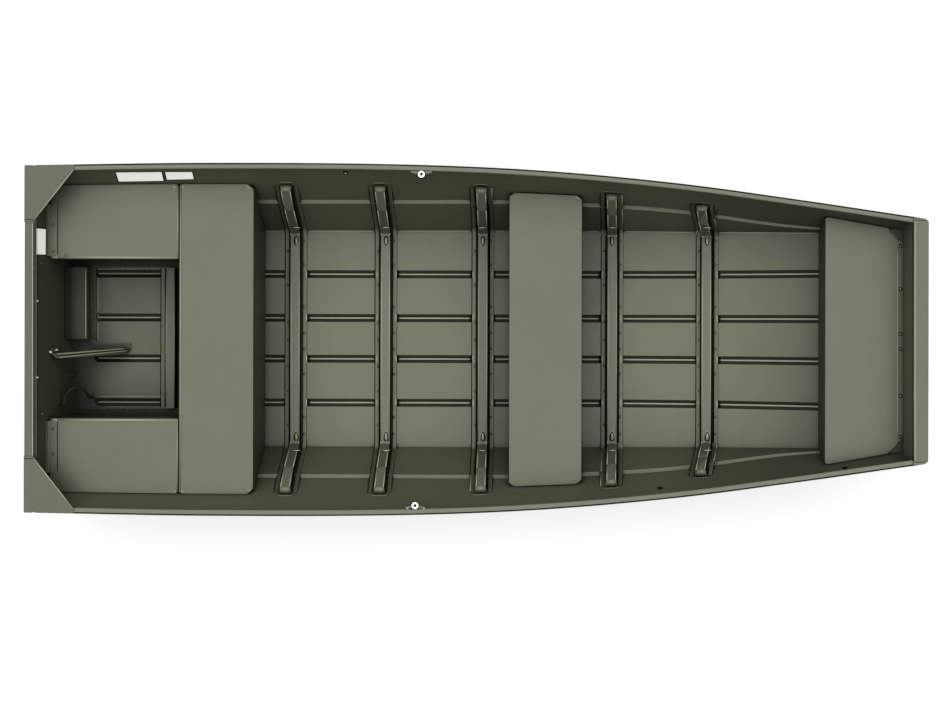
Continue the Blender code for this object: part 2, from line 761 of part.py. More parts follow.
def pan(name, outline, top_z, skirt, spec, collection, side=PORT):
    """A sheet with turned-down, rounded edges. Its skirts lean in where the hull narrows."""
    lowest = top_z - skirt
    mesh = bmesh.new()
    points = outline if side == PORT else [(s, y * side) for s, y in reversed(outline)]
    top = mesh.faces.new([mesh.verts.new(at(s, y, top_z)) for s, y in points])
    rim = list(top.edges)
    bmesh.ops.extrude_edge_only(mesh, edges=rim)
    for vert in mesh.verts:
        if vert in top.verts:
            continue
        station = vert.co.x - STERN_X
        limit = side_half(station, lowest) - SIDE_CLEARANCE
        vert.co.z = lowest
        vert.co.y = max(-limit, min(limit, vert.co.y))
    bmesh.ops.bevel(
        mesh, geom=rim, offset=BENCH_EDGE_RADIUS, segments=2, profile=0.5, affect="EDGES",
    )
    bmesh.ops.recalc_face_normals(mesh, faces=mesh.faces)
    if max(mesh.faces, key=lambda f: f.calc_area()).normal.z < 0:
        bmesh.ops.reverse_faces(mesh, faces=mesh.faces)
    obj = object_from_bmesh(name, mesh, spec, collection)
    thicken(obj, BENCH_SHEET, False)
    return obj


def pan_edge(station, top_z):
    """Half-breadth of a pan that fills the hull's width at its height."""
    return side_half(station, top_z) - SIDE_CLEARANCE


def bench_outline(span, top_z, aft_chamfer, forward_chamfer):
    """(station, y) round a bench that fills the hull's width at its height."""
    aft, forward = span
    port = [
        (forward, pan_edge(forward, top_z) - forward_chamfer),
        (forward - forward_chamfer, pan_edge(forward - forward_chamfer, top_z)),
        (aft + aft_chamfer, pan_edge(aft + aft_chamfer, top_z)),
        (aft, pan_edge(aft, top_z) - aft_chamfer),
    ]
    starboard = [(s, -y) for s, y in reversed(port)]
    return port + starboard


def cross_panel(name, station, top_z, skirt, chamfer, collection):
    """An upright panel under a pan, cut to the floor, the sides, their ledge and the pan."""
    points = section(station)
    floor = max(floor_z(station), floor_z(station + BENCH_SHEET))
    under = top_z - BENCH_EDGE_RADIUS - SEAT_GAP
    skirt_foot = top_z - skirt - SEAT_GAP
    inside = SIDE_CLEARANCE + chamfer + BENCH_SHEET
    half = [(points[0][0] - SIDE_CLEARANCE, floor + SEAT_GAP)]
    ledge = [(y - SIDE_CLEARANCE, z + SIDE_CLEARANCE) for y, z in points[1:3]]
    half += [(y, z) for y, z in ledge if z < skirt_foot - PANEL_LEDGE_MARGIN]
    half += [(side_half(station, skirt_foot) - SIDE_CLEARANCE, skirt_foot)]
    half += [(side_half(station, z) - inside, z) for z in (skirt_foot, under)]
    whole = half + [(-y, z) for y, z in reversed(half)]
    outline = [at(station, y, z) for y, z in whole]
    plate(name, outline, Vector((BENCH_SHEET, 0, 0)), PAINT, collection)


def benches(collection):
    for name, span, top_z, aft_cut, forward_cut in (
        ("rear_bench", REAR_BENCH, REAR_BENCH_Z, BENCH_SMALL_CHAMFER, BENCH_CHAMFER),
        ("mid_bench", MID_BENCH, MID_BENCH_Z, MID_BENCH_CHAMFER, MID_BENCH_CHAMFER),
    ):
        outline = bench_outline(span, top_z, aft_cut, forward_cut)
        pan(name, outline, top_z, BENCH_SKIRT, PAINT, collection)
        inset = BENCH_SHEET + SEAT_GAP
        aft = span[0] + inset
        forward = span[1] - inset - BENCH_SHEET
        cross_panel(f"{name}_rear_panel", aft, top_z, BENCH_SKIRT, aft_cut, collection)
        cross_panel(f"{name}_front_panel", forward, top_z, BENCH_SKIRT, forward_cut, collection)


def bow_deck(collection):
    forward = BOW_FOOT - BOW_DECK_SET_BACK
    aft = forward - BOW_DECK_LENGTH
    top_z = floor_z(BOW_FOOT) + BOW_DECK_RISE
    outline = bench_outline((aft, forward), top_z, BENCH_SMALL_CHAMFER, BOW_DECK_CHAMFER)
    pan("bow_deck", outline, top_z, BOW_DECK_SKIRT, PAINT, collection)
    station = aft + BENCH_SHEET + SEAT_GAP
    cross_panel(
        "bow_deck_panel", station, top_z, BOW_DECK_SKIRT, BENCH_SMALL_CHAMFER, collection,
    )


def corner_decks(collection):
    top_z = REAR_BENCH_Z
    aft = board_inner(top_z - BENCH_SKIRT) + SEAT_GAP
    forward = REAR_BENCH[0] - CORNER_DECK_GAP
    cut_back = forward - BENCH_SMALL_CHAMFER
    outline = [
        (forward, CORNER_DECK_INBOARD),
        (forward, pan_edge(forward, top_z) - BENCH_SMALL_CHAMFER),
        (cut_back, pan_edge(cut_back, top_z)),
        (aft, pan_edge(aft, top_z)),
        (aft, CORNER_DECK_INBOARD),
    ]
    lapped_z = top_z - CORNER_DECK_JOGGLE
    strip_edge = strip_aft(lapped_z) + STRIP_WIDTH + SEAT_GAP
    for label, side in SIDES:
        deck = pan(f"corner_deck_{label}", outline, top_z, BENCH_SKIRT, PAINT, collection, side)
        joggle(deck, strip_edge, CORNER_DECK_JOGGLE)
        well_wall(label, side, top_z, forward, collection)
        deck_strip(label, side, lapped_z, collection)


def well_wall(label, side, deck_z, forward, collection):
    """Upright wall between the splash well and a corner box, with its foot turned inboard."""
    outer_face = CORNER_DECK_INBOARD + 2 * BENCH_SHEET + SEAT_GAP
    top_z = deck_z - BENCH_EDGE_RADIUS - SEAT_GAP
    foot_z = FLOOR_Z + SEAT_GAP
    front = forward - BENCH_SHEET - SEAT_GAP
    low_aft = transom_inner(foot_z) + 2 * SEAT_GAP
    step_z = BOARD_FOOT_Z - WALL_STEP_DROP
    rows = [
        [
            at(low_aft + WALL_FOOT_FLANGE, outer_face - WALL_FOOT_FLANGE, foot_z),
            at(low_aft, outer_face, foot_z),
            at(board_inner(BOARD_FOOT_Z) + SEAT_GAP, outer_face, step_z),
            at(board_inner(BOARD_FOOT_Z) + SEAT_GAP, outer_face, top_z),
        ],
        [
            at(front - WALL_FLANGE_CUT, outer_face - WALL_FOOT_FLANGE, foot_z),
            at(front, outer_face, foot_z),
            at(front, outer_face, step_z),
            at(front, outer_face, top_z),
        ],
    ]
    sheet_from_rows(f"well_wall_{label}", rows, BENCH_SHEET, False, PAINT, collection, side)


def strip_aft(deck_z):
    """Station of the aft edge of a deck strip's flat leg."""
    return board_inner(deck_z + SEAT_GAP) + 2 * SEAT_GAP


def deck_strip(label, side, deck_z, collection):
    """Angle that ties a corner deck to the transom board."""
    top = deck_z + SEAT_GAP
    high = top + STRIP_UPSTAND
    rows = [
        [
            at(board_inner(high) + 2 * SEAT_GAP, y, high),
            at(strip_aft(deck_z), y, top),
            at(strip_aft(deck_z) + STRIP_WIDTH, y, top),
        ]
        for y in (STRIP_OUTBOARD, STRIP_INBOARD)
    ]
    sheet_from_rows(
        f"deck_strip_{label}", rows, BENCH_SHEET, False, PAINT, collection, side,
    )


# Ribs


def rib_profile():
    """(along, height) across a hat section, from flange edge to flange edge."""
    top, foot, edge = RIB_TOP_WIDTH / 2, RIB_FOOT_WIDTH / 2, RIB_TOTAL_WIDTH / 2
    half = [(-edge, 0.0), (-foot, 0.0), (-top, RIB_HEIGHT)]
    return half + [(-along, height) for along, height in reversed(half)]


def rib(name, station, collection):
    """A hat section that lies on the floor, square to it, and climbs both sides."""
    half = RIB_TOTAL_WIDTH / 2
    lean = math.atan2(floor_z(station + half) - floor_z(station - half), RIB_TOTAL_WIDTH)
    base = floor_z(station) + SEAT_GAP

    def side_point(along, height):
        s = station + along * math.cos(lean) - height * math.sin(lean)
        z = base + along * math.sin(lean) + height * math.cos(lean)
        return s, side_half(s, z) - SIDE_CLEARANCE, z

    def floor_point(along, y):
        return station + along * math.cos(lean), y, base + along * math.sin(lean)

    def ledge_height(along):
        height = 0.0
        for _ in range(LEDGE_SEARCH_STEPS):
            s, _, z = side_point(along, height)
            height += (section(s)[1][1] - z) / math.cos(lean)
        return height

    top_height = (RIB_LEG_TOP_Z - base) / math.cos(lean)
    flat_half = chine_half(station) - SIDE_CLEARANCE - RIB_BEND
    levels = [lambda along: RIB_BEND, ledge_height, lambda along: top_height]
    centre_path = [(flat_half, 0.0)]
    centre_path += [(side_point(0.0, level(0.0))[1], level(0.0)) for level in levels]
    whole = [(-y, h) for y, h in reversed(centre_path)] + centre_path
    normals = path_normals(whole)
    whole_levels = [*reversed(levels), None, None, *levels]
    rows = []
    for (y, _), level, (ny, nh) in zip(whole, whole_levels, normals):
        row = []
        for along, rise in rib_profile():
            if level is None:
                s, base_y, z = floor_point(along, y)
            else:
                s, base_y, z = side_point(along, level(along))
                base_y = math.copysign(base_y, y)
            up = nh * rise
            row.append(
                at(s - up * math.sin(lean), base_y + ny * rise, z + up * math.cos(lean))
            )
        rows.append(row)
    sheet_from_rows(name, rows, RIB_SHEET, True, PAINT, collection)


def path_normals(path):
    """Mitred normals, to the left of a path of (across, up) points."""
    directions = []
    for (y0, h0), (y1, h1) in pairwise(path):
        length = math.hypot(y1 - y0, h1 - h0)
        directions.append(((y1 - y0) / length, (h1 - h0) / length))
    normals = []
    for i in range(len(path)):
        before = directions[max(i - 1, 0)]
        after = directions[min(i, len(directions) - 1)]
        ny, nh = -(before[1] + after[1]), before[0] + after[0]
        size = math.hypot(ny, nh)
        ny, nh = ny / size, nh / size
        stretch = 1 / (ny * -after[1] + nh * after[0])
        normals.append((ny * stretch, nh * stretch))
    return normals


def well_rib(collection):
    base = FLOOR_Z + SEAT_GAP
    half = CORNER_DECK_INBOARD - WALL_FOOT_FLANGE - WELL_RIB_GAP
    rows = [
        [at(WELL_RIB_STATION + along, y, base + rise) for along, rise in rib_profile()]
        for y in (-half, half)
    ]
    sheet_from_rows("rib_well", rows, RIB_SHEET, True, PAINT, collection)


# Splash well fittings


def transom_foot_box(collection):
    """Low folded box across the port half of the transom's foot."""
    base = FLOOR_Z + SEAT_GAP
    upstand = FOOT_BOX_Z + FOOT_BOX_UPSTAND
    profile = [
        (transom_inner(upstand) + SEAT_GAP, upstand),
        (transom_inner(FOOT_BOX_Z) + SEAT_GAP, FOOT_BOX_Z),
        (FOOT_BOX_FRONT, FOOT_BOX_Z),
        (FOOT_BOX_FRONT, base),
        (FOOT_BOX_FRONT + FOOT_BOX_FLANGE, base),
    ]
    clear_of_flange = CORNER_DECK_INBOARD - WALL_FOOT_FLANGE - FOOT_BOX_GAP
    rows = [
        [at(s, y, z) for s, z in profile] for y in (FOOT_BOX_STARBOARD_END, clear_of_flange)
    ]
    sheet_from_rows("transom_foot_box", rows, BENCH_SHEET, True, PAINT, collection)


def transom_knee(collection):
    """A bent plate: an upright web with a flange along each of its three edges."""
    base = FLOOR_Z + SEAT_GAP
    turn = math.tan(KNEE_TURN)

    def web(station, z):
        return at(station, KNEE_Y + (station - KNEE_PIVOT) * turn, z)

    top_aft = board_inner(KNEE_TOP_Z) + SEAT_GAP
    low_z = BOARD_FOOT_Z + KNEE_BOARD_LAP
    low_aft = board_inner(low_z) + SEAT_GAP
    foot_aft = low_aft + KNEE_HEEL
    foot_fore = top_aft + KNEE_REACH
    mesh = bmesh.new()
    names = {
        "top": web(top_aft, KNEE_TOP_Z),
        "back": web(low_aft, low_z),
        "heel": web(foot_aft, base),
        "toe": web(foot_fore, base),
    }
    verts = {key: mesh.verts.new(point) for key, point in names.items()}
    mesh.faces.new([verts[key] for key in ("top", "back", "heel", "toe")])
    flanges = (
        ("top", "toe", Vector((0, -KNEE_FLANGE, 0))),
        ("heel", "toe", Vector((0, KNEE_FOOT_FLANGE, 0))),
        ("top", "back", Vector((0, KNEE_FOOT_FLANGE, 0))),
    )
    for first, second, out in flanges:
        a, b = names[first], names[second]
        near = mesh.verts.new(a + (b - a) * KNEE_FLANGE_CUT + out)
        far = mesh.verts.new(b + (a - b) * KNEE_FLANGE_CUT + out)
        mesh.faces.new((verts[first], near, far, verts[second]))
    bmesh.ops.recalc_face_normals(mesh, faces=mesh.faces)
    obj = object_from_bmesh("transom_knee", mesh, PAINT, collection)
    web_face = max(obj.data.polygons, key=lambda face: face.area)
    thicken(obj, KNEE_SHEET, web_face.normal.y > 0)


def drain(collection):
    axis = Vector((-1, 0, -TRANSOM_SLOPE)).normalized()
    centre = at(transom_aft(DRAIN_Z), DRAIN_Y, DRAIN_Z)
    bore, outer, flange = DRAIN_BORE / 2, DRAIN_BORE / 2 + DRAIN_WALL, DRAIN_FLANGE / 2
    face = SEAT_GAP + DRAIN_FLANGE_THICKNESS
    tube = [
        (bore, -DRAIN_TUBE_INSIDE), (outer, -DRAIN_TUBE_INSIDE), (outer, SEAT_GAP),
        (flange, SEAT_GAP), (flange, face), (bore, face),
    ]
    turned("drain_tube", tube, centre, axis, BARE_METAL, collection)
    radius, head = bore - SEAT_GAP, face + SEAT_GAP
    plug = [
        (0.0, -PLUG_INSIDE - PLUG_TIP), (radius, -PLUG_INSIDE), (radius, head),
        (radius + PLUG_LIP, head), (radius + PLUG_LIP, head + PLUG_HEAD), (0.0, head + PLUG_HEAD),
    ]
    turned("drain_plug", plug, centre, axis, BLACK_RUBBER, collection)


def barb_profile(barb, length):
    """A flange with a sloped shoulder and a barb on it, solid to the axis."""
    flange, thickness = HOSE_DIAMETER / 2 + HOSE_FLANGE, HOSE_FLANGE_THICKNESS
    shoulder = thickness + HOSE_FLANGE_SLOPE
    return [
        (0.0, 0.0), (flange, 0.0), (flange, thickness), (barb, shoulder), (barb, length),
        (0.0, length),
    ]


def hose(collection):
    """A short hose looped from a port on the transom down to a barb on the floor."""
    port = at(transom_inner(HOSE_PORT_Z) + SEAT_GAP, HOSE_PORT_Y, HOSE_PORT_Z)
    into_boat = Vector((1, 0, TRANSOM_SLOPE)).normalized()
    upper = barb_profile(HOSE_DIAMETER / 2, HOSE_UPPER_BARB)
    turned("hose_fitting_upper", upper, port, into_boat, BLACK_RUBBER, collection)
    foot = at(HOSE_FOOT_STATION, HOSE_FOOT_Y, FLOOR_Z + SEAT_GAP)
    upright = Vector((0, 0, 1))
    lower = barb_profile(HOSE_DIAMETER / 2 + HOSE_LOWER_WALL, HOSE_LOWER_BARB)
    turned("hose_fitting_lower", lower, foot, upright, BLACK_RUBBER, collection)

    start = port + into_boat * (HOSE_UPPER_BARB + SEAT_GAP)
    end = foot + upright * (HOSE_LOWER_BARB + SEAT_GAP)
    route = [
        start + into_boat * 0.006,
        start + into_boat * 0.016,
        *(at(*place) for place in HOSE_ROUTE),
        end + upright * 0.028,
        end + upright * 0.006,
    ]
    curve = bpy.data.curves.new("drain_hose", "CURVE")
    curve.dimensions = "3D"
    curve.bevel_depth = HOSE_DIAMETER / 2
    curve.bevel_resolution = ROD_RESOLUTION
    curve.use_fill_caps = True
    points = [start, *smooth_route(route, HOSE_ROUTE_STEPS), end]
    spline = curve.splines.new("POLY")
    spline.points.add(len(points) - 1)
    for point, place in zip(spline.points, points):
        point.co = (*place, 1.0)
    curve.materials.append(material_of(BLACK_RUBBER))
    collection.objects.link(bpy.data.objects.new("drain_hose", curve))


def smooth_route(points, steps):
    """Points along a smooth curve through the route's own points."""
    places = [points[0] * 2 - points[1], *points, points[-1] * 2 - points[-2]]
    smooth = []
    for a, b, c, d in zip(places, places[1:], places[2:], places[3:]):
        for i in range(steps):
            t = i / steps
            smooth.append(
                0.5 * (2 * b + (c - a) * t + (2 * a - 5 * b + 4 * c - d) * t**2
                       + (3 * b - a - 3 * c + d) * t**3)
            )
    return [*smooth, points[-1]]


# Oarlocks


def oarlocks(collection, cutters):
    for label, side, station in OARLOCKS:
        half, top = rail_edge(station)
        back = half - RAIL_WIDTH - OARLOCK_RAIL_GAP
        centre = back - OARLOCK_DEPTH - OARLOCK_BOSS_OFFSET
        high = top - OARLOCK_TOP_DROP
        outline = oarlock_outline(station, back, centre)
        points = mirrored([at(s, y, high) for s, y in outline], side)
        push = Vector((0, 0, -OARLOCK_HEIGHT))
        base = plate(f"oarlock_base_{label}", points, push, PAINT, collection)
        middle = at(station, centre * side, high - OARLOCK_HEIGHT / 2)
        bore = OARLOCK_BUSH_RADIUS + SEAT_GAP
        length = OARLOCK_HEIGHT + CUTTER_SPARE
        upright = Vector((0, 0, 1))
        name = f"oarlock_cutter_{label}"
        cut(base, cylinder_cutter(name, middle, upright, bore, length, cutters))
        place = at(station, centre * side, high)
        turned(f"oarlock_bush_{label}", bush_profile(), place, upright, BARE_METAL, collection)


def oarlock_outline(station, back, centre):
    """(station, y) round a base plate that swells into a round boss."""
    end, radius = OARLOCK_LENGTH / 2, OARLOCK_BOSS_RADIUS
    turns = [math.pi * i / OARLOCK_BOSS_STEPS for i in range(OARLOCK_BOSS_STEPS + 1)]
    arc = [(station + radius * math.cos(t), centre - radius * math.sin(t)) for t in turns]
    return [
        (station - end, back), (station + end, back), (station + end, back - OARLOCK_DEPTH / 2),
        *arc, (station - end, back - OARLOCK_DEPTH / 2),
    ]


def bush_profile():
    foot = -OARLOCK_HEIGHT - OARLOCK_BUSH_BELOW
    rim = OARLOCK_BOSS_RADIUS - OARLOCK_RIM_INSET
    top = SEAT_GAP + OARLOCK_FLANGE_THICKNESS
    return [
        (OARLOCK_BORE_RADIUS, foot), (OARLOCK_BUSH_RADIUS, foot), (OARLOCK_BUSH_RADIUS, SEAT_GAP),
        (rim, SEAT_GAP), (rim, top), (OARLOCK_BORE_RADIUS, top),
    ]


def main():
    clear_scene()
    boat = collection_named("jon_boat")
    cutters = collection_named("cutters")
    hull_bottom(boat)
    hull_sides(boat)
    transom(boat, cutters)
    transom_cap(boat)
    corner_gussets(boat)
    gunwales(boat)
    bow(boat)
    benches(boat)
    bow_deck(boat)
    corner_decks(boat)
    well_rib(boat)
    for number, station in enumerate(RIB_STATIONS, start=1):
        rib(f"rib_{number}", station, boat)
    transom_foot_box(boat)
    transom_knee(boat)
    drain(boat)
    hose(boat)
    oarlocks(boat, cutters)


main()
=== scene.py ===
"""Studio scene of a flat-bottom aluminium jon boat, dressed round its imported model.

Units are metres. +X runs to the bow, +Y to port and +Z up. The folded sheets get their bend radii
and painted finish here, and the rivets, bolts, crimps, labels and small fittings are added.
"""

import json
import math

import bmesh
import bpy
from mathutils import Matrix, Vector
from mathutils.bvhtree import BVHTree

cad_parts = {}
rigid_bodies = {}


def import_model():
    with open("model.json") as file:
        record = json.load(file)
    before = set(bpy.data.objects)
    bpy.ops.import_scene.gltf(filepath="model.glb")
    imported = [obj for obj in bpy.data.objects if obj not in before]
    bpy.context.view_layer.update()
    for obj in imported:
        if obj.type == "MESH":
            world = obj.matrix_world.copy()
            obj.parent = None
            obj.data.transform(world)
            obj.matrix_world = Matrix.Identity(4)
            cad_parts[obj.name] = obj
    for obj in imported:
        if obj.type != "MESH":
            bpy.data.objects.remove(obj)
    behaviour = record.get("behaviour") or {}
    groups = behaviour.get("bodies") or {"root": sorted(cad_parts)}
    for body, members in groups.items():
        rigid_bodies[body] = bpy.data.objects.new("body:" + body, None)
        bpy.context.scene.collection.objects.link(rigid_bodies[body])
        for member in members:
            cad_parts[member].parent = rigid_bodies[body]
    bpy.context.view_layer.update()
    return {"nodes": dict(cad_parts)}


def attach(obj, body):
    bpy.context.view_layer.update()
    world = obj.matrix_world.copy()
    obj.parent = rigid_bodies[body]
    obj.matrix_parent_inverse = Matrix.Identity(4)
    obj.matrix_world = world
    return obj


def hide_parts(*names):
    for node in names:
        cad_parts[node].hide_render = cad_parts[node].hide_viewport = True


for leftover in list(bpy.data.objects):
    bpy.data.objects.remove(leftover)

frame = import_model()
NODES = frame["nodes"]
PORT, STARBOARD = 1, -1
SIDES = (("port", PORT), ("starboard", STARBOARD))

# The photograph's view: straight down from above the boat, a little ahead of its middle
CAMERA_PLACE = Vector((0.264, 0.10, 8.13))
CAMERA_ROLL = math.radians(0.146)
FOCAL_PIXELS = 1506.3
AXIS_PIXEL = (526.0, 320.3)
IMAGE_WIDTH = 940
IMAGE_HEIGHT = 705
SENSOR_WIDTH = 36.0
CAMERA_REACH = 100.0

# Light
SUN_STRENGTH = 2.35
SUN_SPREAD = math.radians(95)
SUN_TILT = math.radians(12)
AMBIENT = 0.10
FLOOR_ALBEDO = 0.80
FLOOR_GLOW = 0.52
FLOOR_HALF = 30.0

# Paint colours, linear. HULL_GREEN is the one olive enamel; the other greens are darker and lighter
# copies of it, painted shade and painted light for how light falls on each part
HULL_GREEN = (0.186, 0.200, 0.142)
SIDE_GREEN = (0.098, 0.102, 0.066)
RAIL_GREEN = (0.225, 0.238, 0.176)
BOARD_GREEN = (0.056, 0.056, 0.034)
SHADE_GREEN = (0.026, 0.027, 0.018)
CAP_GREEN = (0.148, 0.157, 0.114)
DECK_GREEN = (0.176, 0.188, 0.136)
# Black as painted shadow: lines in gaps and under edges, the ribs' hat walls and dark rings round
# small parts
SHADOW_BLACK = (0.010, 0.010, 0.007)
APRON_GREEN = (0.062, 0.064, 0.042)
WALL_GREEN = (0.040, 0.041, 0.026)
WELL_GREEN = (0.088, 0.093, 0.062)
BOX_GREEN = (0.096, 0.100, 0.068)
LEG_GREEN = (0.150, 0.158, 0.112)
BOW_GREEN = (0.150, 0.156, 0.108)
LABEL_WHITE = (0.92, 0.92, 0.88)
# The stickers glow a little, as painted light
LABEL_GLOW = 0.45

# The knee's forward end
KNEE_END_X = -1.92
KNEE_FOOT_Y = -0.03
KNEE_FOOT_STRETCH = 0.043
KNEE_STRETCH = 0.030

# Where the splash well's floor is darkened with painted shade
SHADE_ASTERN = (-2.15, -1.96)
SHADE_BESIDE = (0.385, 0.33)
SHADE_AHEAD = (-1.60, -1.50)
TRANSOM_SHADE_TONE = 0.12
WELL_TONE = 0.86
WALL_FOOT_TONE = 0.45

# Painted shade that changes along the hull: first tone, last tone, first station, last station
FORE_SHADE = (1.0, 0.76, 1.35, 1.75)
SIDE_SHADE = (1.0, 0.66, 0.95, 1.55)
BOX_SHADE = (0.40, 1.0, -2.165, -2.125)

# Wear of the enamel with painted highlights on its edges, and painted shade in its corners; each
# corner shade is its reach, darkest tone, shut and open ends
WORN_HIGHLIGHT_REACH = 0.005
CREVICE_SHADE = (0.035, 0.22, 0.35, 0.90)
RECESS_SHADE = (0.50, 0.28, 0.10, 0.85)
WAVE_DEPTH = 0.0015
PEEL_DEPTH = 0.00006
GRAIN_DEPTH = 0.00004
RUBBER_GLOSS = 0.15

# Floor strakes: how far their middles are from the middle plane, and their widths
GROOVE_OFFSETS = (0.110, 0.346)
GROOVE_BOTTOM = 0.021
GROOVE_MARGIN = 0.002
GROOVE_LINE = 0.008
GROOVE_WIDTH = 0.046

# Ribs: heights of the legs' parts, and half widths of the hat and of the zone beside it
LEG_RING_Z = 0.31
LEG_EXTENSION = 0.040
LEG_CLEARANCE = 0.0004
LEG_SPLIT_Z = 0.258
LEG_SHADE_Z = LEG_SPLIT_Z - 0.03
LEG_FOOT_Z = 0.030
LEG_SLACK = 0.004
LEG_MARGIN = 0.001
LEG_END_RISE = 0.016
LEG_END_THICKNESS = 0.0010
TAB_SPREAD = 0.008
TAB_RISE = 0.010
RIB_HAT_HALF = 0.029
RIB_ZONE = 0.064
RIBS = tuple(f"rib_{number}" for number in range(1, 6))

# Bend radii of the folded sheets
SHEET_FOLD = 0.0035
EDGE_BREAK = 0.0006
BREAK_TURN = math.radians(25)
FOLD_ANGLE = math.radians(40)
PAN_FOLD_ANGLE = math.radians(60)
PAN_FOLDS = {"rear_bench": 0.009, "mid_bench": 0.009, "bow_deck": 0.006}
RIM_WIDTH = 0.0048
RIM_TURN = math.radians(70)
WELD_DISTANCE = 1e-5
FLAT_TURN = math.radians(0.2)
PLANE_DISTANCE = 1e-6

# How far a face looks up, or an edge runs along an axis: shares of a unit vector
LEVEL = 0.9
NEARLY_FLAT = 0.97
SQUARE = 0.98
UPRIGHT = 0.5
STEEP = 0.3
LEDGE_LEVEL = 0.85
HAT_LEVEL = 0.8
OUTWARD = 0.7
SLANT = (0.3, 0.97)
CREASE_TURN = 0.3

# Worn lines that carry painted highlights, and painted shadow lines: low beads on edges, and as
# (node, pixels, width) along lines of the photograph; where the node is None, the line lies on
# whatever shows there
SMALLEST_STRIP = 1e-5
DECK_INBOARD = 0.43
DECK_FORE_X = -1.53
FOLD_TRIM = 0.002
TRACE_STEP = 3.0
SHORTEST_BEAD = 0.012
FOOT_SHADOW_WIDTH = 0.0085
FOOT_SEAM_INSET = 2.55
SHADOW_WIDTH = 0.0055
FAINT_SHADOW_WIDTH = 0.0024
SHADOW_INSET = -0.5
SHADOW_DROP = 0.0014
BEAD_HEIGHT = 0.0007
WORN_HIGHLIGHT_TRACES = (
    ("transom_cap", ((32.6, 223.0), (32.6, 457.0)), 0.0060),
    ("transom_board", ((36.3, 223.0), (36.3, 457.0)), 0.0060),
    ("bow_cap", ((915.2, 221.0), (915.2, 461.5)), 0.0060),
    (None, ((91.3, 266.0), (91.3, 341.0)), 0.0050),
    (None, ((98.0, 272.0), (98.0, 341.0)), 0.0045),
    (None, ((98.0, 269.2), (161.0, 268.6)), 0.0045),
    (None, ((98.0, 396.4), (162.0, 396.4)), 0.0045),
    ("bow_deck", ((897.6, 250.0), (897.6, 434.0)), 0.0045),
    ("transom_knee", ((57.0, 354.2), (128.0, 348.4)), 0.0060),
    ("transom_knee", ((59.0, 357.4), (128.0, 350.6)), 0.0055),
    ("hull_bottom", ((264.0, 231.0), (284.5, 231.0)), 0.0050),
    ("hull_bottom", ((308.5, 231.0), (374.0, 231.0)), 0.0050),
    ("hull_bottom", ((398.0, 231.0), (471.0, 231.0)), 0.0050),
    ("hull_bottom", ((495.0, 231.0), (506.0, 231.0)), 0.0050),
    ("hull_bottom", ((585.0, 231.3), (600.0, 231.3)), 0.0050),
    ("hull_bottom", ((624.0, 231.4), (695.0, 232.2)), 0.0050),
    ("hull_bottom", ((719.0, 232.4), (818.0, 233.2)), 0.0050),
)
# Painted highlights on chamfered corners
HIGHLIGHT_CORNER_TRACES = (
    ("corner_deck_port", ((172.6, 185.4), (175.9, 188.2)), 0.0060),
    ("corner_deck_starboard", ((172.6, 493.2), (175.9, 490.4)), 0.0060),
    ("rear_bench", ((180.8, 188.4), (184.2, 185.6)), 0.0060),
    ("rear_bench", ((180.8, 490.6), (184.2, 493.4)), 0.0060),
    ("rear_bench", ((245.2, 184.8), (250.4, 188.4)), 0.0060),
    ("rear_bench", ((245.2, 493.8), (250.4, 490.2)), 0.0060),
    ("mid_bench", ((574.6, 196.0), (579.2, 199.4)), 0.0060),
    ("transom_foot_box", ((85.7, 268.6), (85.7, 338.6)), 0.0056),
)
# Painted shadow lines in gaps and under overhanging edges
SHADOW_TRACES = (
    ("transom_cap", ((33.9, 223.0), (33.9, 457.0)), 0.0050),
    (None, ((96.3, 268.0), (96.3, 341.0)), 0.0055),
    (None, ((98.0, 271.1), (161.0, 270.5)), 0.0060),
    ("bow_cap", ((913.7, 221.5), (913.7, 461.5)), 0.0050),
    ("bow_deck", ((889.4, 230.8), (900.2, 243.0)), 0.0040),
    ("transom_board", ((37.6, 223.0), (37.6, 457.0)), 0.0050),
    ("gunwale_starboard", ((75.0, 509.4), (75.0, 513.4)), 0.0040),
    ("deck_strip_port", ((57.6, 206.0), (57.6, 257.0)), 0.0040),
    ("deck_strip_starboard", ((57.3, 422.0), (57.3, 474.0)), 0.0040),
    ("bow_panel", ((912.4, 226.0), (912.4, 458.0)), 0.0070),
    ("transom_knee", ((58.0, 355.8), (128.0, 349.5)), 0.0040),
    ("bow_cap", ((915.2, 219.9), (927.0, 220.4)), 0.0040),
    ("bow_cap", ((915.2, 462.4), (927.0, 462.0)), 0.0040),
    ("corner_gusset_port", ((24.6, 219.4), (34.2, 219.4)), 0.0040),
    ("corner_gusset_starboard", ((24.6, 458.6), (34.2, 458.6)), 0.0040),
)

# Strake ends, as (lip, notch) columns at each rib
NOTCH_WIDTH = 0.0066
GROOVE_REACH = 0.021
GROOVE_ROWS = (274.0, 317.5, 358.0, 403.0)
GROOVE_MIDDLES = (0.346, 0.110, -0.110, -0.346)
GROOVE_CLEAR = 8.0
GROOVE_ENDS = (
    (306.4, 308.6), (377.2, 375.0), (396.0, 398.0), (473.2, 471.0), (492.0, 494.0), (602.2, 600.0),
    (620.6, 622.6), (698.2, 696.0), (717.0, 719.2),
)

# The bow deck's tie angle as (aft, fore, half width, height), its corner plates and rivets
PLATE_THICKNESS = 0.0012
BOW_RIVET_COLUMN = 900.6
BOW_FLANGE = (2.1590, 2.1800, 0.497, 0.4754)
BOW_FLANGE_AFT = 0.514
BOW_RIVET_SEAT = ((0.0100, -0.0003), (0.0100, 0.0003), (0.0, 0.0003))
BOW_RIVET_ROWS = (246.0, 289.0, 334.0, 349.0, 396.0, 437.0)
BOW_CORNER = (
    (2.100, 0.560, 0.464), (2.158, 0.502, 0.464), (2.180, 0.494, 0.464), (2.180, 0.562, 0.464),
    (2.130, 0.569, 0.464), (2.110, 0.569, 0.464),
)
BOW_HEM = ((2.1986, 0.6100), (2.2014, 0.6352))
BOW_HEM_HALF = 0.604

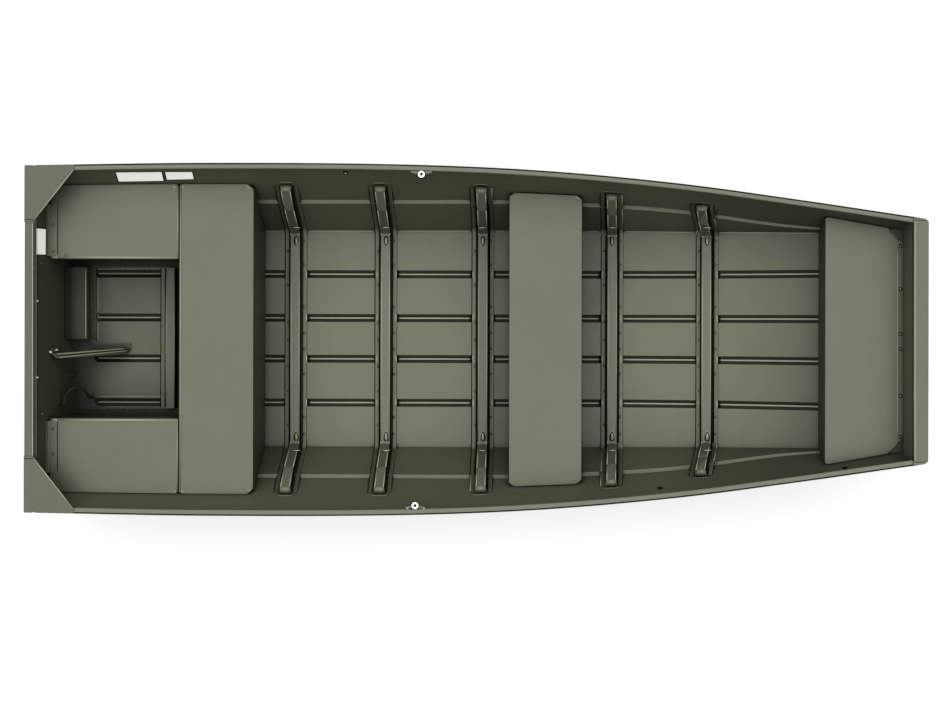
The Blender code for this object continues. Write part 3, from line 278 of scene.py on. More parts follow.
# Fasteners, as (radius, height) pairs that end at the axis
SLAB_SINK = 0.0004
RIVET = ((0.0050, -0.0004), (0.0050, 0.0006), (0.0040, 0.0019), (0.0021, 0.0027), (0.0, 0.0030))
RIVET_SEAT = ((0.0078, -0.0003), (0.0078, 0.0003), (0.0, 0.0003))
WASHER = ((0.0095, -0.0004), (0.0095, 0.0014), (0.0, 0.0014))
NUT = ((0.0072, 0.0012), (0.0072, 0.0062), (0.0060, 0.0072), (0.0, 0.0072))
STUD = ((0.0038, 0.0070), (0.0038, 0.0100), (0.0028, 0.0112), (0.0, 0.0112))
BOLT = ((WASHER, 16), (NUT, 6), (STUD, 10))
SEAT_SIDES = 16
# The oarlock washers are black as painted shadow round the bushes
OARLOCK_SHADOW_WASHER = ((0.0215, -0.0004), (0.0215, 0.0008), (0.0, 0.0008))
OARLOCK_SHADOW_WASHER_SIDES = 28
GROMMET = ((0.0130, -0.0004), (0.0130, 0.0030), (0.0105, 0.0042), (0.0, 0.0042))
GROMMET_PIN = ((0.0070, 0.0040), (0.0060, 0.0062), (0.0, 0.0062))
GROMMET_SIDES = 20
PIN_SIDES = 14

# Where fasteners and labels are, in pixels of the photograph
OARLOCK_RIVETS = {
    "port": (),
    "starboard": ((407.6, 508.6), (423.8, 508.6)),
}
PORT_GROMMET = (345.7, 172.6)
STARBOARD_GROMMETS = ((660.0, 488.2), (845.0, 468.2))
PAINTED_RIVETS = {
    "deck_strip_port": ((53.8, 225.0), (53.8, 251.4)),
    "deck_strip_starboard": ((53.2, 428.7), (53.2, 454.0)),
    "corner_deck_port": ((66.0, 255.5),),
    "well_wall_port": ((94.0, 266.0), (123.0, 265.5), (152.0, 265.0)),
    "well_wall_starboard": ((104.0, 409.0), (128.0, 409.0), (152.0, 409.0)),
    "transom_board": ((41.5, 263.0), (42.0, 413.5)),
    "transom_foot_box": ((93.9, 283.7), (94.2, 312.0), (94.6, 337.0)),
    "transom_knee": ((112.4, 348.6),),
    "rib_well": ((165.5, 284.0), (165.5, 328.0), (165.5, 365.0), (165.5, 392.0)),
}
RIB_CENTRES = (296.25, 386.1, 482.9, 612.1, 707.2)
RIB_FLANGE_OFFSET = 7.9
FORWARD_RIVET_ROWS = (241.0, 265.0, 307.0, 333.0, 349.0, 374.0, 417.0, 434.0)
AFT_RIVET_ROWS = (251.0, 285.0, 322.0, 340.0, 366.0, 391.0, 425.0)
BRIGHT_BOLTS = ((36.4, 301.0), (36.4, 377.4), (50.8, 352.0), (56.3, 350.0))
LABELS = (
    ("label_warning_port", "hull_side_port",
     ((116, 172.5), (161.6, 172.1), (163.4, 180.7), (118.75, 181.4))),
    ("label_small_port", "hull_side_port",
     ((165.2, 172.1), (192, 172.1), (193.75, 178.9), (167, 179.6))),
    ("label_transom", "transom_board",
     ((36.6, 228.4), (45.6, 229.3), (45.4, 254.6), (36.6, 254.3))),
)
LABEL_THICKNESS = 0.0006
LABEL_BORDER = 0.007

# The ribs' pressings: each step of the teardrop as (growth or share, height); the dark rim and dark
# crimp are painted shadow, the steps and bright crimp painted highlight
DIMPLE_ROWS = ((PORT, 240.9), (STARBOARD, 436.8))
CRIMP_ROWS = ((PORT, 227.9), (STARBOARD, 450.2))
DIMPLE_LENGTH = 0.048
DIMPLE_WIDTH = 0.026
DIMPLE_TAPER = 0.65
DIMPLE_RIM = (0.006, 0.0010)
DIMPLE_LIP = (0.014, 0.0006)
DIMPLE_STEPS = ((0.85, 0.0018), (0.60, 0.0030), (0.35, 0.0038))
DIMPLE_NARROWING = 0.7
OVAL_STEPS = 20
CRIMP_STEPS = 8
DARK_CRIMP = (0.0220, 0.0008)
BRIGHT_CRIMP = (0.0085, 0.0028)
CRIMP_HALF = 0.020
CRIMP_BOW = 0.007


# Places


def pixel_ray(pixel):
    """The line of sight through a pixel of the photograph, as a place and a direction."""
    across = (pixel[0] - AXIS_PIXEL[0]) / FOCAL_PIXELS
    down = (pixel[1] - AXIS_PIXEL[1]) / FOCAL_PIXELS
    direction = Matrix.Rotation(CAMERA_ROLL, 3, "Z") @ Vector((across, -down, -1.0))
    return CAMERA_PLACE, direction.normalized()


def surface_of(node):
    """A search tree over a node's faces."""
    mesh = NODES[node].data
    points = [vert.co for vert in mesh.vertices]
    return BVHTree.FromPolygons(points, [face.vertices for face in mesh.polygons])


def resurfaced(node):
    """Lets what is placed later on a node lie on its touched-up shape."""
    mesh = clean_copy(node)
    SURFACES[node] = BVHTree.FromBMesh(mesh)
    mesh.free()


SURFACES = {node: surface_of(node) for node in NODES}


def seen_on(node, pixel):
    """Where the line of sight through a pixel meets a node, with the normal there."""
    place, normal, _, _ = SURFACES[node].ray_cast(*pixel_ray(pixel))
    return place, normal


# Materials


def shader_nodes(name):
    """A new material with its nodes, its links and its shader."""
    material = bpy.data.materials.new(name)
    material.use_nodes = True
    tree = material.node_tree
    return material, tree.nodes, tree.links, tree.nodes["Principled BSDF"]


def noise(nodes, links, scale, detail=2.0):
    """Noise by the boat's own coordinates, in cycles a metre."""
    place = nodes.new("ShaderNodeTexCoord")
    texture = nodes.new("ShaderNodeTexNoise")
    texture.inputs["Scale"].default_value = scale
    texture.inputs["Detail"].default_value = detail
    links.new(place.outputs["Object"], texture.inputs["Vector"])
    return texture.outputs["Fac"]


def ramp(nodes, links, source, low, high, start=0.3, end=0.7):
    """Maps a source between two values, clamped at both ends."""
    mapping = nodes.new("ShaderNodeMapRange")
    mapping.inputs["From Min"].default_value = start
    mapping.inputs["From Max"].default_value = end
    mapping.inputs["To Min"].default_value = low
    mapping.inputs["To Max"].default_value = high
    links.new(source, mapping.inputs["Value"])
    return mapping.outputs["Result"]


def worked_out(nodes, links, operation, *sources):
    """What a Math node makes of one or two sources."""
    step = nodes.new("ShaderNodeMath")
    step.operation = operation
    for source, socket in zip(sources, step.inputs):
        links.new(source, socket)
    return step.outputs["Value"]


def product(nodes, links, first, second):
    return worked_out(nodes, links, "MULTIPLY", first, second)


def hull_axes(nodes, links):
    """The boat's own X, Y and Z at a point."""
    place = nodes.new("ShaderNodeTexCoord")
    parts = nodes.new("ShaderNodeSeparateXYZ")
    links.new(place.outputs["Object"], parts.inputs["Vector"])
    return parts.outputs


def tinted(nodes, links, shader, colour, tone):
    """Gives a shader a colour times a tone."""
    scale = nodes.new("ShaderNodeVectorMath")
    scale.operation = "SCALE"
    scale.inputs[0].default_value = colour
    links.new(tone, scale.inputs["Scale"])
    links.new(scale.outputs["Vector"], shader.inputs["Base Color"])


def edge_mask(nodes, links, radius):
    """1 along an edge and 0 on a flat, by how far a rounded normal turns from the true one."""
    rounded = nodes.new("ShaderNodeBevel")
    rounded.samples = 4
    rounded.inputs["Radius"].default_value = radius
    geometry = nodes.new("ShaderNodeNewGeometry")
    dot = nodes.new("ShaderNodeVectorMath")
    dot.operation = "DOT_PRODUCT"
    links.new(rounded.outputs["Normal"], dot.inputs[0])
    links.new(geometry.outputs["Normal"], dot.inputs[1])
    return ramp(nodes, links, dot.outputs["Value"], 1.0, 0.0, 0.80, 0.97)


def corner_shade(nodes, links, reach, darkest, closed, open_air):
    """Painted shade where a surface is shut in within a reach: 1 in the open, less in a corner."""
    occlusion = nodes.new("ShaderNodeAmbientOcclusion")
    occlusion.samples = 6
    occlusion.inputs["Distance"].default_value = reach
    return ramp(nodes, links, occlusion.outputs["AO"], darkest, 1.0, closed, open_air)


def bumped(nodes, links, layers):
    """A chain of bump nodes from (height source, depth in metres) pairs."""
    normal = None
    for height, depth in layers:
        bump = nodes.new("ShaderNodeBump")
        bump.inputs["Strength"].default_value = 1.0
        bump.inputs["Distance"].default_value = depth
        links.new(height, bump.inputs["Height"])
        if normal:
            links.new(normal, bump.inputs["Normal"])
        normal = bump.outputs["Normal"]
    return normal


def along_hull(nodes, links, low, high, start, end):
    """A tone that runs from low to high between two stations."""
    return ramp(nodes, links, hull_axes(nodes, links)["X"], low, high, start, end)


def well_shade(nodes, links):
    """Painted shade on the floor by the transom, in the splash well and along its walls."""
    axes = hull_axes(nodes, links)
    astern = ramp(nodes, links, axes["X"], TRANSOM_SHADE_TONE, 1.0, *SHADE_ASTERN)
    off_middle = worked_out(nodes, links, "ABSOLUTE", axes["Y"])
    beside = ramp(nodes, links, off_middle, 0.0, 1.0, *SHADE_BESIDE)
    ahead = ramp(nodes, links, axes["X"], 0.0, 1.0, *SHADE_AHEAD)
    clear = worked_out(nodes, links, "MAXIMUM", beside, ahead)
    well = ramp(nodes, links, axes["X"], WELL_TONE, 1.0, *SHADE_AHEAD)
    edges = ramp(nodes, links, clear, WALL_FOOT_TONE, 1.0, 0.0, 1.0)
    return product(nodes, links, product(nodes, links, astern, well), edges)


def paint(
    name, colour, roughness=0.46, mottle=0.02, worn_highlight=1.8, well_shaded=False, gloss=0.28, fore=None,
):
    """Satin enamel on sheet: cloudy tone, speckle, orange peel, edges lightened by wear and a
    painted highlight, and painted shade in corners.
    """
    material, nodes, links, shader = shader_nodes(name)
    cloud = ramp(nodes, links, noise(nodes, links, 3.0, 4.0), 1.0 - mottle, 1.0 + mottle)
    speckle = ramp(nodes, links, noise(nodes, links, 420.0, 1.0), 0.97, 1.03)
    rubbed_highlight = ramp(nodes, links, edge_mask(nodes, links, WORN_HIGHLIGHT_REACH), 1.0, worn_highlight, 0.0, 1.0)
    crevice_shade = corner_shade(nodes, links, *CREVICE_SHADE)
    recess_shade = corner_shade(nodes, links, *RECESS_SHADE)
    tone = product(nodes, links, product(nodes, links, cloud, speckle), rubbed_highlight)
    tone = product(nodes, links, tone, product(nodes, links, crevice_shade, recess_shade))
    if well_shaded:
        tone = product(nodes, links, tone, well_shade(nodes, links))
    if fore:
        tone = product(nodes, links, tone, along_hull(nodes, links, *fore))
    tinted(nodes, links, shader, colour, tone)
    shader.inputs["Specular IOR Level"].default_value = gloss
    patch = noise(nodes, links, 11.0, 3.0)
    links.new(
        ramp(nodes, links, patch, roughness - 0.05, roughness + 0.07), shader.inputs["Roughness"],
    )
    peel = noise(nodes, links, 330.0, 1.0)
    wave = noise(nodes, links, 5.0, 1.0)
    relief = bumped(nodes, links, ((wave, WAVE_DEPTH), (peel, PEEL_DEPTH)))
    links.new(relief, shader.inputs["Normal"])
    return material


def metal(name, colour, roughness):
    """Bare metal with a fine grain."""
    material, nodes, links, shader = shader_nodes(name)
    grain = noise(nodes, links, 900.0, 2.0)
    shader.inputs["Base Color"].default_value = (*colour, 1.0)
    shader.inputs["Metallic"].default_value = 1.0
    uneven = ramp(nodes, links, grain, roughness - 0.06, roughness + 0.10)
    links.new(uneven, shader.inputs["Roughness"])
    links.new(bumped(nodes, links, ((grain, GRAIN_DEPTH),)), shader.inputs["Normal"])
    return material


def vinyl(name, colour):
    """Plain glossy sticker, faintly uneven, that glows a little as painted light."""
    material, nodes, links, shader = shader_nodes(name)
    cloud = ramp(nodes, links, noise(nodes, links, 40.0), 0.97, 1.0)
    tinted(nodes, links, shader, colour, cloud)
    links.new(ramp(nodes, links, noise(nodes, links, 90.0), 0.30, 0.42), shader.inputs["Roughness"])
    shader.inputs["Emission Color"].default_value = (*colour, 1.0)
    shader.inputs["Emission Strength"].default_value = LABEL_GLOW
    return material


def rubber(name, colour):
    """Dull rubber or plastic under a little dust."""
    material, nodes, links, shader = shader_nodes(name)
    dust = ramp(nodes, links, noise(nodes, links, 60.0, 3.0), 0.8, 1.5)
    tinted(nodes, links, shader, colour, dust)
    uneven = ramp(nodes, links, noise(nodes, links, 150.0), 0.45, 0.65)
    links.new(uneven, shader.inputs["Roughness"])
    shader.inputs["Specular IOR Level"].default_value = RUBBER_GLOSS
    return material


HULL_PAINT = paint("hull_paint", HULL_GREEN)
# The floor's paint darkens as painted shade in the splash well and towards the bow
BOTTOM_PAINT = paint("bottom_paint", HULL_GREEN, well_shaded=True, fore=FORE_SHADE)
SHADE_PAINT = paint("shade_paint", SHADE_GREEN, worn_highlight=1.2, gloss=0.06)
# Far lighter than the enamel: painted highlight on ridges, lips, corners and small parts
HIGHLIGHT_PAINT = paint("highlight_paint", tuple(3.2 * part for part in HULL_GREEN), worn_highlight=1.1)
# Lighter than the enamel: wear and a painted highlight
WORN_HIGHLIGHT_PAINT = paint("worn_highlight_paint", tuple(2.2 * part for part in HULL_GREEN), worn_highlight=1.2)
CAP_PAINT = paint("cap_paint", CAP_GREEN)
DECK_PAINT = paint("deck_paint", DECK_GREEN)
SHADOW_PAINT = paint("shadow_paint", SHADOW_BLACK, worn_highlight=1.0, gloss=0.02)
APRON_PAINT = paint("apron_paint", APRON_GREEN, gloss=0.15)
WALL_PAINT = paint("wall_paint", WALL_GREEN, gloss=0.12)
WELL_PAINT = paint("well_paint", WELL_GREEN, gloss=0.18)
BOX_PAINT = paint("box_paint", BOX_GREEN, gloss=0.18, fore=BOX_SHADE)
LEG_PAINT = paint("leg_paint", LEG_GREEN)
# Rivet heads lighter than the enamel, as a painted highlight
RIVET_PAINT = paint("rivet_paint", tuple(1.35 * part for part in HULL_GREEN), worn_highlight=1.2)
BOW_PAINT = paint("bow_paint", BOW_GREEN)
LABEL = vinyl("label", LABEL_WHITE)
# The side sheets' dark paint is painted shade, deeper towards the bow
SIDE_PAINT = paint("side_paint", SIDE_GREEN, fore=SIDE_SHADE)
RAIL_PAINT = paint("rail_paint", RAIL_GREEN)
# The transom board's dark paint is painted shade
BOARD_PAINT = paint("board_paint", BOARD_GREEN, roughness=0.6)
BARE_METAL = metal("bare_metal", (0.62, 0.62, 0.60), 0.34)
# Dark aged metal for the drain tube, darker than brass as painted shade of the well's corner
DULL_METAL = metal("dull_metal", (0.10, 0.095, 0.075), 0.50)
BLACK_RUBBER = rubber("black_rubber", (0.020, 0.020, 0.018))


# Dressing


def piece_from(name, mesh_in_progress, material):
    """A smooth piece of the boat, from a finished mesh."""
    mesh = bpy.data.meshes.new(name)
    mesh_in_progress.to_mesh(mesh)
    mesh_in_progress.free()
    mesh.materials.append(material)
    mesh.shade_smooth()
    piece = bpy.data.objects.new(name, mesh)
    bpy.context.scene.collection.objects.link(piece)
    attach(piece, "root")
    return piece


def plated(name, mesh, material, flat=False):
    """A piece from plates or beads, with their faces turned outwards."""
    bmesh.ops.recalc_face_normals(mesh, faces=mesh.faces)
    piece = piece_from(name, mesh, material)
    if flat:
        piece.data.shade_flat()


def is_rim(face):
    """True for the narrow face along a sheet's cut edge."""
    width = 2 * face.calc_area() / sum(edge.calc_length() for edge in face.edges)
    turns = [edge.calc_face_angle(0.0) for edge in face.edges]
    return width < RIM_WIDTH and min(sorted(turns)[-2:]) > RIM_TURN


def narrow_grooves(mesh, node):
    """Draws the floor strakes' inner corners in to a narrow bottom."""
    for vert in mesh.verts:
        for offset in GROOVE_OFFSETS:
            across = abs(vert.co.y) - offset
            if abs(abs(across) - GROOVE_BOTTOM / 2) < GROOVE_MARGIN and vert.normal.z > 0:
                side = 1 if vert.co.y > 0 else -1
                vert.co.y = side * (offset + math.copysign(GROOVE_LINE / 2, across))


def on_side(place, side):
    """The spot on the inner face of a side sheet that is straight outboard of a place."""
    node = "hull_side_port" if side == PORT else "hull_side_starboard"
    middle = Vector((place.x, 0.0, place.z))
    spot = SURFACES[node].ray_cast(middle, Vector((0, side, 0)))[0]
    return spot or place


def parted(mesh, place, normal):
    """Cuts a mesh's faces along a plane."""
    bmesh.ops.bisect_plane(
        mesh, geom=mesh.verts[:] + mesh.edges[:] + mesh.faces[:], dist=PLANE_DISTANCE,
        plane_co=place, plane_no=normal,
    )


def lengthen_legs(mesh, node):
    """Runs a rib's two legs further up the sides, and parts them level with the ledge."""
    for side in (PORT, STARBOARD):
        tops = [vert for vert in mesh.verts if vert.co.z > LEG_RING_Z and vert.co.y * side > 0]
        rims = sorted(tops, key=lambda vert: abs(vert.co.x - RIB_MIDDLES[node]))[-4:]
        run = Vector()
        for vert in rims:
            below = [edge.other_vert(vert) for edge in vert.link_edges]
            ways = [(vert.co - other.co) for other in below if other not in tops]
            run += min(ways, key=lambda way: abs(way.x) / way.length).normalized()
        run.normalize()
        for vert in tops:
            vert.co += run * LEG_EXTENSION
        outside = max(abs(vert.co.y) - abs(on_side(vert.co, side).y) for vert in tops)
        for vert in tops:
            vert.co.y -= side * max(0.0, outside + LEG_CLEARANCE)
    parted(mesh, (0.0, 0.0, LEG_SPLIT_Z), (0.0, 0.0, 1.0))


def part_at_ribs(mesh, node):
    """Parts a side sheet's faces beside each rib."""
    for rib in RIBS:
        for end in (-RIB_ZONE, RIB_ZONE):
            parted(mesh, (RIB_MIDDLES[rib] + end, 0.0, 0.0), (1.0, 0.0, 0.0))


def stretch_knee(mesh, node):
    """Runs the knee's forward end a little further along the floor."""
    for vert in mesh.verts:
        if vert.co.x > KNEE_END_X:
            vert.co.x += KNEE_FOOT_STRETCH if vert.co.y > KNEE_FOOT_Y else KNEE_STRETCH


RIB_MIDDLES = {
    node: sum(NODES[node].bound_box[corner][0] for corner in (0, 6)) / 2 for node in RIBS
}
RESHAPED = {
    "hull_bottom": narrow_grooves,
    "hull_side_port": part_at_ribs,
    "hull_side_starboard": part_at_ribs,
    "transom_knee": stretch_knee,
} | {node: lengthen_legs for node in RIBS}


def bottom_paint(face):
    """The floor strakes' walls are in shade, and their bottoms get a lighter paint for wear and a
    painted highlight.
    """
    middle = face.calc_center_median()
    near = min(abs(abs(middle.y) - offset) for offset in GROOVE_OFFSETS)
    if face.normal.z < STEEP or near > GROOVE_WIDTH / 2:
        return BOTTOM_PAINT
    if near < GROOVE_LINE / 2 and face.normal.z > LEVEL and face.calc_area() > SMALLEST_STRIP:
        return WORN_HIGHLIGHT_PAINT
    return SHADE_PAINT if face.normal.z < NEARLY_FLAT else BOTTOM_PAINT


def side_paint(face):
    """The side sheets' pressed ledge faces the light between the ribs, so it gets the lighter hull
    paint there as painted light.
    """
    middle = face.calc_center_median()
    beside = min(abs(middle.x - place) for place in RIB_MIDDLES.values())
    return HULL_PAINT if face.normal.z > LEDGE_LEVEL and beside > RIB_ZONE else SIDE_PAINT


def rib_paint(face):
    """Hat walls black as painted shadow; legs in the side sheets' painted shade, with a lighter
    copy up their hats as painted light.
    """
    middle = face.calc_center_median()
    off = min(abs(middle.x - place) for place in RIB_MIDDLES.values())
    if abs(face.normal.x) > UPRIGHT and not is_rim(face):
        return SHADOW_PAINT
    if face.normal.z > HAT_LEVEL or middle.z < LEG_FOOT_Z:
        return HULL_PAINT
    if off > RIB_HAT_HALF or middle.z < LEG_SHADE_Z:
        return SIDE_PAINT
    return LEG_PAINT


def pan_paint(face):
    """Benches' tops in hull paint, their aprons in the shade of the boat."""
    return HULL_PAINT if face.normal.z > UPRIGHT else APRON_PAINT


FACE_PAINT = {
    "hull_bottom": bottom_paint,
    "hull_side_port": side_paint,
    "hull_side_starboard": side_paint,
    "rear_bench": pan_paint,
    "mid_bench": pan_paint,
    "bow_deck": pan_paint,
} | {node: rib_paint for node in RIBS + ("rib_well",)}


def clean_copy(node):
    """A node's mesh with its corners joined, its flat faces whole and its shape touched up."""
    mesh = bmesh.new()
    mesh.from_mesh(NODES[node].data)
    bmesh.ops.remove_doubles(mesh, verts=mesh.verts, dist=WELD_DISTANCE)
    bmesh.ops.dissolve_limit(
        mesh, angle_limit=FLAT_TURN, verts=mesh.verts, edges=mesh.edges,
    )
    mesh.normal_update()
    if node in RESHAPED:
        RESHAPED[node](mesh, node)
        mesh.normal_update()
    return mesh


def dressed(node, material, fold, fold_angle):
    """A copy of a node whose folds are bent to a radius and whose cut edges are broken."""
    mesh = clean_copy(node)
    paints = [material]
    if node in FACE_PAINT:
        for face in mesh.faces:
            chosen = FACE_PAINT[node](face)
            if chosen not in paints:
                paints.append(chosen)
            face.material_index = paints.index(chosen)
    weights = mesh.edges.layers.float.new("bevel_weight_edge")
    rims = {face for face in mesh.faces if is_rim(face)}
    for line in mesh.edges:
        turn = line.calc_face_angle(0.0)
        if rims & set(line.link_faces):
            line[weights] = EDGE_BREAK / fold if turn > BREAK_TURN else 0.0
        elif turn > fold_angle:
            line[weights] = 1.0
    piece = piece_from(f"{node}_dressed", mesh, material)
    for extra in paints[1:]:
        piece.data.materials.append(extra)
    bevel = piece.modifiers.new("Folds", "BEVEL")
    bevel.width = fold
    bevel.segments = 3
    bevel.limit_method = "WEIGHT"
    bevel.use_clamp_overlap = True
    normals = piece.modifiers.new("Normals", "WEIGHTED_NORMAL")
    normals.mode = "FACE_AREA"
    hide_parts(node)


# Each sheet gets the enamel or one of its darker and lighter copies, painted shade and painted
# light
SHEET_PAINTS = {
    "hull_bottom": BOTTOM_PAINT,
    "hull_side_port": SIDE_PAINT,
    "hull_side_starboard": SIDE_PAINT,
    "gunwale_port": RAIL_PAINT,
    "gunwale_starboard": RAIL_PAINT,
    "transom_skin": SIDE_PAINT,
    "transom_board": BOARD_PAINT,
    "transom_cap": CAP_PAINT,
    "transom_pad": HULL_PAINT,
    "transom_knee": WELL_PAINT,
    "transom_foot_box": BOX_PAINT,
    "corner_gusset_port": CAP_PAINT,
    "corner_gusset_starboard": CAP_PAINT,
    "bow_panel": BOW_PAINT,
    "bow_cap": HULL_PAINT,
    "rib_well": HULL_PAINT,
    "rib_1": HULL_PAINT,
    "rib_2": HULL_PAINT,
    "rib_3": HULL_PAINT,
    "rib_4": HULL_PAINT,
    "rib_5": HULL_PAINT,
    "rear_bench": HULL_PAINT,
    "rear_bench_rear_panel": APRON_PAINT,
    "rear_bench_front_panel": APRON_PAINT,
    "mid_bench": HULL_PAINT,
    "mid_bench_rear_panel": APRON_PAINT,
    "mid_bench_front_panel": APRON_PAINT,
    "bow_deck": HULL_PAINT,
    "bow_deck_panel": APRON_PAINT,
    "corner_deck_port": DECK_PAINT,
    "corner_deck_starboard": DECK_PAINT,
    "well_wall_port": WALL_PAINT,
    "well_wall_starboard": WALL_PAINT,
    "deck_strip_port": DECK_PAINT,
    "deck_strip_starboard": DECK_PAINT,
    "oarlock_base_port": HULL_PAINT,
    "oarlock_base_starboard": HULL_PAINT,
    "bow_eye_plate": BARE_METAL,
}
SOFT_CORNERED = (
    "gunwale_port", "gunwale_starboard", "rear_bench", "mid_bench",
    "bow_deck", "corner_deck_port", "corner_deck_starboard",
)
ROUND_NODES = {
    "bow_eye": BARE_METAL,
    "drain_tube": DULL_METAL,
    "drain_plug": BLACK_RUBBER,
    "drain_hose": BLACK_RUBBER,
    "hose_fitting_upper": BLACK_RUBBER,
    "hose_fitting_lower": BLACK_RUBBER,
    "oarlock_bush_port": BARE_METAL,
    "oarlock_bush_starboard": BARE_METAL,
}


def dress_nodes():
    """Bent and painted sheets; the small round nodes only get their material."""
    for node, material in SHEET_PAINTS.items():
        fold_angle = PAN_FOLD_ANGLE if node in SOFT_CORNERED else FOLD_ANGLE
        dressed(node, material, PAN_FOLDS.get(node, SHEET_FOLD), fold_angle)
    for node, material in ROUND_NODES.items():
        NODES[node].material_slots[0].material = material


# Fasteners, labels and small pressings


def seen(pixel):
    """The first place that the line of sight through a pixel meets, with the normal there."""
    hits = [SURFACES[node].ray_cast(*pixel_ray(pixel)) for node in NODES]
    place, normal, _, _ = min((hit for hit in hits if hit[0]), key=lambda hit: hit[3])
    return place, normal


def add_turned(mesh, place, normal, profile, sides=12):
    """Adds a body of revolution from (radius, height) pairs that end at the axis."""
    turn = normal.to_track_quat("Z", "Y").to_matrix()
    rings = []
    for radius, height in profile:
        count = sides if radius else 1
        spokes = [math.tau * i / sides for i in range(count)]
        points = [Vector((radius * math.cos(t), radius * math.sin(t), height)) for t in spokes]
        rings.append([mesh.verts.new(place + turn @ point) for point in points])
    mesh.faces.new(reversed(rings[0]))
    for low, high in zip(rings, rings[1:]):
        for i in range(sides):
            j = (i + 1) % sides
            corners = (low[i], low[j], high[j % len(high)], high[i % len(high)])
            mesh.faces.new(dict.fromkeys(corners))


def add_slab(mesh, corners, normal, thickness):
    """Adds a thin plate on a surface, from its corners in order."""
    sunk = [mesh.verts.new(corner - normal * SLAB_SINK) for corner in corners]
    top = [mesh.verts.new(corner + normal * thickness) for corner in corners]
    mesh.faces.new(reversed(sunk))
    mesh.faces.new(top)
    for i in range(len(corners)):
        j = (i + 1) % len(corners)
        mesh.faces.new((sunk[i], sunk[j], top[j], top[i]))


def oval(place, along, normal, length, width):
    """Points round an oval on a surface, narrowed towards its far end."""
    across = normal.cross(along)
    points = []
    for i in range(OVAL_STEPS):
        turn = math.tau * i / OVAL_STEPS
        run, side = math.cos(turn), math.sin(turn)
        narrow = 1.0 - (1.0 - DIMPLE_TAPER) * (run + 1) / 2
        points.append(place + along * (run * length / 2) + across * (side * narrow * width / 2))
    return points


def traced(node, pixels):
    """Places and normals along a line through pixels, on a node or on what shows there."""
    trail = []
    for start, end in zip(pixels, pixels[1:]):
        count = max(1, round(math.dist(start, end) / TRACE_STEP))
        for i in range(count + (end is pixels[-1])):
            share = i / count
            pixel = tuple(a + (b - a) * share for a, b in zip(start, end))
            place, normal = seen_on(node, pixel) if node else seen(pixel)
            if place is not None:
                trail.append((place, normal))
    return trail


def add_bead(mesh, trail, width, height):
    """Adds a low bead along a trail of places and normals."""
    sections = []
    for i, (place, normal) in enumerate(trail):
        along = trail[min(i + 1, len(trail) - 1)][0] - trail[max(i - 1, 0)][0]
        across = normal.cross(along).normalized() * (width / 2)
        low, high = place - normal * SLAB_SINK, place + normal * height
        corners = (low - across, high - across * 0.5, high + across * 0.5, low + across)
        sections.append([mesh.verts.new(corner) for corner in corners])
    mesh.faces.new(sections[0])
    mesh.faces.new(reversed(sections[-1]))
    for near, far in zip(sections, sections[1:]):
        for i in range(4):
            j = (i + 1) % 4
            mesh.faces.new((near[i], far[i], far[j], near[j]))


def creases(node):
    """A node's convex edges: both ends, then its faces' normals, the one that looks up first."""
    mesh = clean_copy(node)
    found = []
    for line in mesh.edges:
        if len(line.link_faces) == 2 and line.is_convex and line.calc_face_angle(0.0) > CREASE_TURN:
            top, side = sorted(line.link_faces, key=lambda face: -face.normal.z)
            ends = [vert.co.copy() for vert in line.verts]
            found.append((*ends, top.normal.copy(), side.normal.copy(), is_rim(side)))
    mesh.free()
    return found


def add_edge_beads(mesh, node, wanted, width, inset=0.5, drop=0.0):
    """Adds beads along a node's wanted edges, set in over the upper face by shares of a width."""
    fold = PAN_FOLDS.get(node, SHEET_FOLD) - FOLD_TRIM
    inset_by = max(width * inset, fold) if inset > 0 else width * inset
    for start, end, top, side, rim in creases(node):
        if (end - start).length < SHORTEST_BEAD:
            continue
        if not wanted((start + end) / 2, end - start, top, side, rim):
            continue
        inward = top.cross(end - start).normalized()
        if inward.dot(side) > 0:
            inward = -inward
        shift = inward * inset_by - top * drop
        add_bead(mesh, ((start + shift, top), (end + shift, top)), width, BEAD_HEIGHT)


# Which edges get a bead, by an edge's middle and run, its upper and side faces' normals, and
# whether the side face is a cut rim


def lengthwise(middle, run, top, side, rim):
    return top.z > LEVEL and abs(run.normalized().x) > SQUARE


def crosswise(middle, run, top, side, rim):
    return top.z > LEVEL and abs(side.z) < UPRIGHT and abs(run.normalized().y) > SQUARE


def slanted(middle, run, top, side, rim):
    askew = SLANT[0] < abs(run.normalized().x) < SLANT[1]
    return top.z > LEVEL and abs(side.z) < UPRIGHT and askew


def deck_rim(middle, run, top, side, rim):
    inboard = lengthwise(middle, run, top, side, rim) and abs(middle.y) < DECK_INBOARD
    return inboard or (crosswise(middle, run, top, side, rim) and middle.x > DECK_FORE_X)


def aft_rim(middle, run, top, side, rim):
    return crosswise(middle, run, top, side, rim) and side.x < -UPRIGHT


def fore_rim(middle, run, top, side, rim):
    return crosswise(middle, run, top, side, rim) and side.x > UPRIGHT


def outer_rim(middle, run, top, side, rim):
    return top.z > UPRIGHT and side.y * math.copysign(1, middle.y) > OUTWARD


def rib_edge(middle, top, side):
    """True along a rib's folds and rims that show from above."""
    up = top.z > LEVEL or top.y * middle.y < 0
    return up and abs(top.x) < STEEP and abs(side.x) > UPRIGHT


def hat_fold(middle, run, top, side, rim):
    return rib_edge(middle, top, side) and not rim


def flange_rim(middle, run, top, side, rim):
    return rib_edge(middle, top, side) and rim


def aft_flange_rim(middle, run, top, side, rim):
    return flange_rim(middle, run, top, side, rim) and side.x < 0


def fore_flange_rim(middle, run, top, side, rim):
    return flange_rim(middle, run, top, side, rim) and side.x > 0


